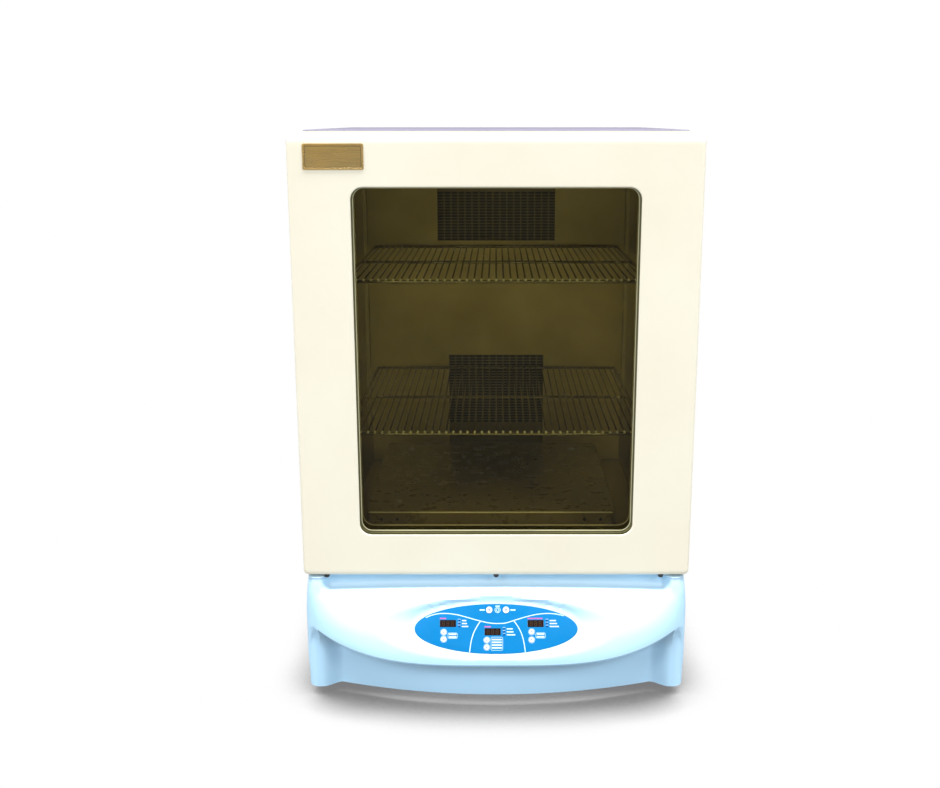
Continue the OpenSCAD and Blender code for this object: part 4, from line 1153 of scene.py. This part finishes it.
def platform():
    lo, hi = mm_box("platform")
    cx, cy = (lo.x + hi.x) / 2, (lo.y + hi.y) / 2
    w, z0, z1, wall, n = hi.x - lo.x, lo.z, hi.z, 2.5, 8

    def ring(inset, z, r):
        return [(x, y, z) for x, y in rounded(w - 2 * inset, w - 2 * inset, r, n, cx, cy)]

    shape = Shape()
    rings = [ring(0.6, z0, 11.4), ring(0, z0 + 0.6, 12), ring(0, z1 - 2.4, 12)]
    for a in (25, 50, 75, 90):
        s, c = math.sin(math.radians(a)), math.cos(math.radians(a))
        rings.append(ring(2.4 * (1 - c), z1 - 2.4 * (1 - s), 12 - 2.4 * (1 - c)))
    shape.rings(rings)
    obj = build("platform_tray", shape.points, shape.faces, ["dark_anodised", "weld_bright"], None,
                ["platform"])
    # The rounded front top edge takes the near-white finish: a painted highlight.
    for face in obj.data.polygons:
        c = face.center / MM
        if z1 - 1.7 < c.z < z1 - 0.01 and c.y < lo.y + 2.6:
            face.material_index = 1
    hollow = Shape()
    hollow.rings([ring(wall, z0 - 1, 9.5), ring(wall, z1 - wall, 9.5)])
    cut_with(obj, hollow)
    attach(obj, "platform")
    rims = Shape()
    rows, pitch_x, pitch_y = 15, 52, 27
    for j in range(rows):
        count = 8 if j % 2 == 0 else 7
        for i in range(count):
            x, y = cx + (i - (count - 1) / 2) * pitch_x, cy + (j - (rows - 1) / 2) * pitch_y
            # Each hole is a dark disc of painted shade set in a thin steel rim on the tray's top.
            rim = [(2.7, -0.5), (3.3, -0.5), (3.3, 0.02), (3.1, 0.12), (2.7, 0.12), (2.6, 0.02)]
            rims.turned(rim, lambda a, b, h, x=x, y=y: (x + a, y + b, z1 + h), 14, 0)
            rims.turned([(2.6, -1.5), (2.6, 0.04)], lambda a, b, h, x=x, y=y: (x + a, y + b, z1 + h), 14, 1)
    # Four more holes on the front edge, each only a dark disc of painted shade.
    for x in (-200, -171, 171, 200):
        rims.turned([(3.0, 0.0), (3.0, 0.1)], lambda a, b, h, x=x: (cx + x + a, lo.y - h, z1 - 14 + b), 16, 1)
    build("platform_holes", rims.points, rims.faces, ["steel", "hole_dark"], "platform", (), rims.indices)


wire_shelf("shelf_upper", "upper_shelf", mm_box("shelf_upper")[1].z)
wire_shelf("shelf_lower", "lower_shelf", mm_box("shelf_lower")[1].z)
platform()

# ---------------------------------------------------------------- carried-over CAD nodes

FINISH = {
    "base_deck": "steel", "control_board": "board_green", "power_supply": "aluminium",
    "power_inlet": "black_plastic",
    "power_switch": "red_plastic", "drive_motor": "motor_grey", "motor_pulley": "steel",
    "drive_belt": "rubber_black",
    "bearing_housings": "cast_grey", "crank_bearings": "steel", "main_crank": "steel",
    "drive_pulley": "aluminium",
    "counterweight": "weight_iron", "idler_crank_left": "steel", "idler_crank_right": "steel",
    "platform_carriage": "cast_grey", "platform_screws": "steel", "front_frame": "cabinet_paint",
    "chamber_liner": "liner_steel", "insulation": "mineral_wool", "rear_duct_panel": "duct_steel",
    "heater": "heater_steel", "fan_motor": "motor_grey", "fan_wheel": "aluminium",
    "temperature_probe": "stainless",
    "pilasters": "stainless", "shelf_clips": "stainless", "hinge_brackets": "steel", "hinge_bushes": "bronze",
    "door_insulation": "mineral_wool", "outer_glass": "tinted_glass", "inner_glass": "clear_glass",
}
for node_name, finish in FINISH.items():
    finish_node(node_name, finish)

# ---------------------------------------------------------------- stage

def stage():
    n = Nodes("studio_floor")
    # Camera rays see the floor as emission: white, with a painted contact shadow ramped from ambient
    # occlusion; other rays meet a grey diffuse floor.
    seen = n.add("ShaderNodeLightPath").outputs["Is Camera Ray"]
    near = n.add("ShaderNodeAmbientOcclusion", samples=12)
    near.inputs["Distance"].default_value = 0.13
    painted_contact_shadow = n.ramp(near.outputs["AO"], [(0.42, (0.2, 0.2, 0.205, 1)), (0.84, (1, 1, 1, 1))])
    shown = n.add("ShaderNodeEmission")
    n.link(painted_contact_shadow, shown.inputs["Color"])
    mix = n.add("ShaderNodeMixShader")
    n.link(seen, mix.inputs["Fac"])
    n.link(n.principled((0.3, 0.3, 0.3, 1), 0.8), mix.inputs[1])
    n.link(shown.outputs["Emission"], mix.inputs[2])
    M["studio_floor"] = n.done(mix.outputs["Shader"])
    size, cuts = 60.0, 4
    points = [((i / cuts - 0.5) * size, (j / cuts - 0.5) * size, 0.0) for j in range(cuts + 1)
              for i in range(cuts + 1)]
    faces = [(j * (cuts + 1) + i, j * (cuts + 1) + i + 1, (j + 1) * (cuts + 1) + i + 1,
              (j + 1) * (cuts + 1) + i)
             for j in range(cuts) for i in range(cuts)]
    mesh = bpy.data.meshes.new("floor")
    mesh.from_pydata(points, [], faces)
    mesh.materials.append(M["studio_floor"])
    floor = bpy.data.objects.new("floor", mesh)
    bpy.context.scene.collection.objects.link(floor)

    def aimed(light, place, aim):
        obj = bpy.data.objects.new(light.name, light)
        obj.location = place
        obj.rotation_mode = "QUATERNION"
        obj.rotation_quaternion = (Vector(aim) - Vector(place)).to_track_quat("-Z", "Y")
        bpy.context.scene.collection.objects.link(obj)

    for side in (-1, 1):
        top = bpy.data.lights.new("top", "SUN")
        top.energy, top.angle = 2.9, math.radians(16)
        aimed(top, (side * 1.7, -0.75, 4.0), (0, 0, 0))
        front = bpy.data.lights.new("front", "AREA")
        front.shape, front.size, front.size_y, front.energy = "RECTANGLE", 1.0, 1.8, 74
        front.color = (1.0, 0.99, 0.97)
        aimed(front, (side * 2.5, -3.3, 2.55), (0, -0.3, 0.35))

    world = bpy.data.worlds.new("studio")
    bpy.context.scene.world = world
    world.use_nodes = True
    tree = world.node_tree
    tree.nodes.clear()
    out = tree.nodes.new("ShaderNodeOutputWorld")
    mix = tree.nodes.new("ShaderNodeMixShader")
    path = tree.nodes.new("ShaderNodeLightPath")
    shown, lit = tree.nodes.new("ShaderNodeBackground"), tree.nodes.new("ShaderNodeBackground")
    shown.inputs["Color"].default_value = (1, 1, 1, 1)
    shown.inputs["Strength"].default_value = 1.02
    lit.inputs["Color"].default_value = (0.97, 0.985, 1.0, 1)
    lit.inputs["Strength"].default_value = 0.3
    tree.links.new(path.outputs["Is Camera Ray"], mix.inputs["Fac"])
    tree.links.new(lit.outputs["Background"], mix.inputs[1])
    tree.links.new(shown.outputs["Background"], mix.inputs[2])
    tree.links.new(mix.outputs["Shader"], out.inputs["Surface"])

    cam = bpy.data.cameras.new("camera")
    cam.sensor_width, cam.lens = 36.0, 43.4
    cam.shift_x = -0.0278
    cam.clip_start, cam.clip_end = 0.05, 100
    obj = bpy.data.objects.new("camera", cam)
    obj.location = (0, -2.155, 0.9977)
    obj.rotation_euler = (math.radians(90 - 13.6), 0, 0)
    bpy.context.scene.collection.objects.link(obj)
    bpy.context.scene.camera = obj
    bpy.context.scene.view_settings.view_transform = "Standard"


stage()
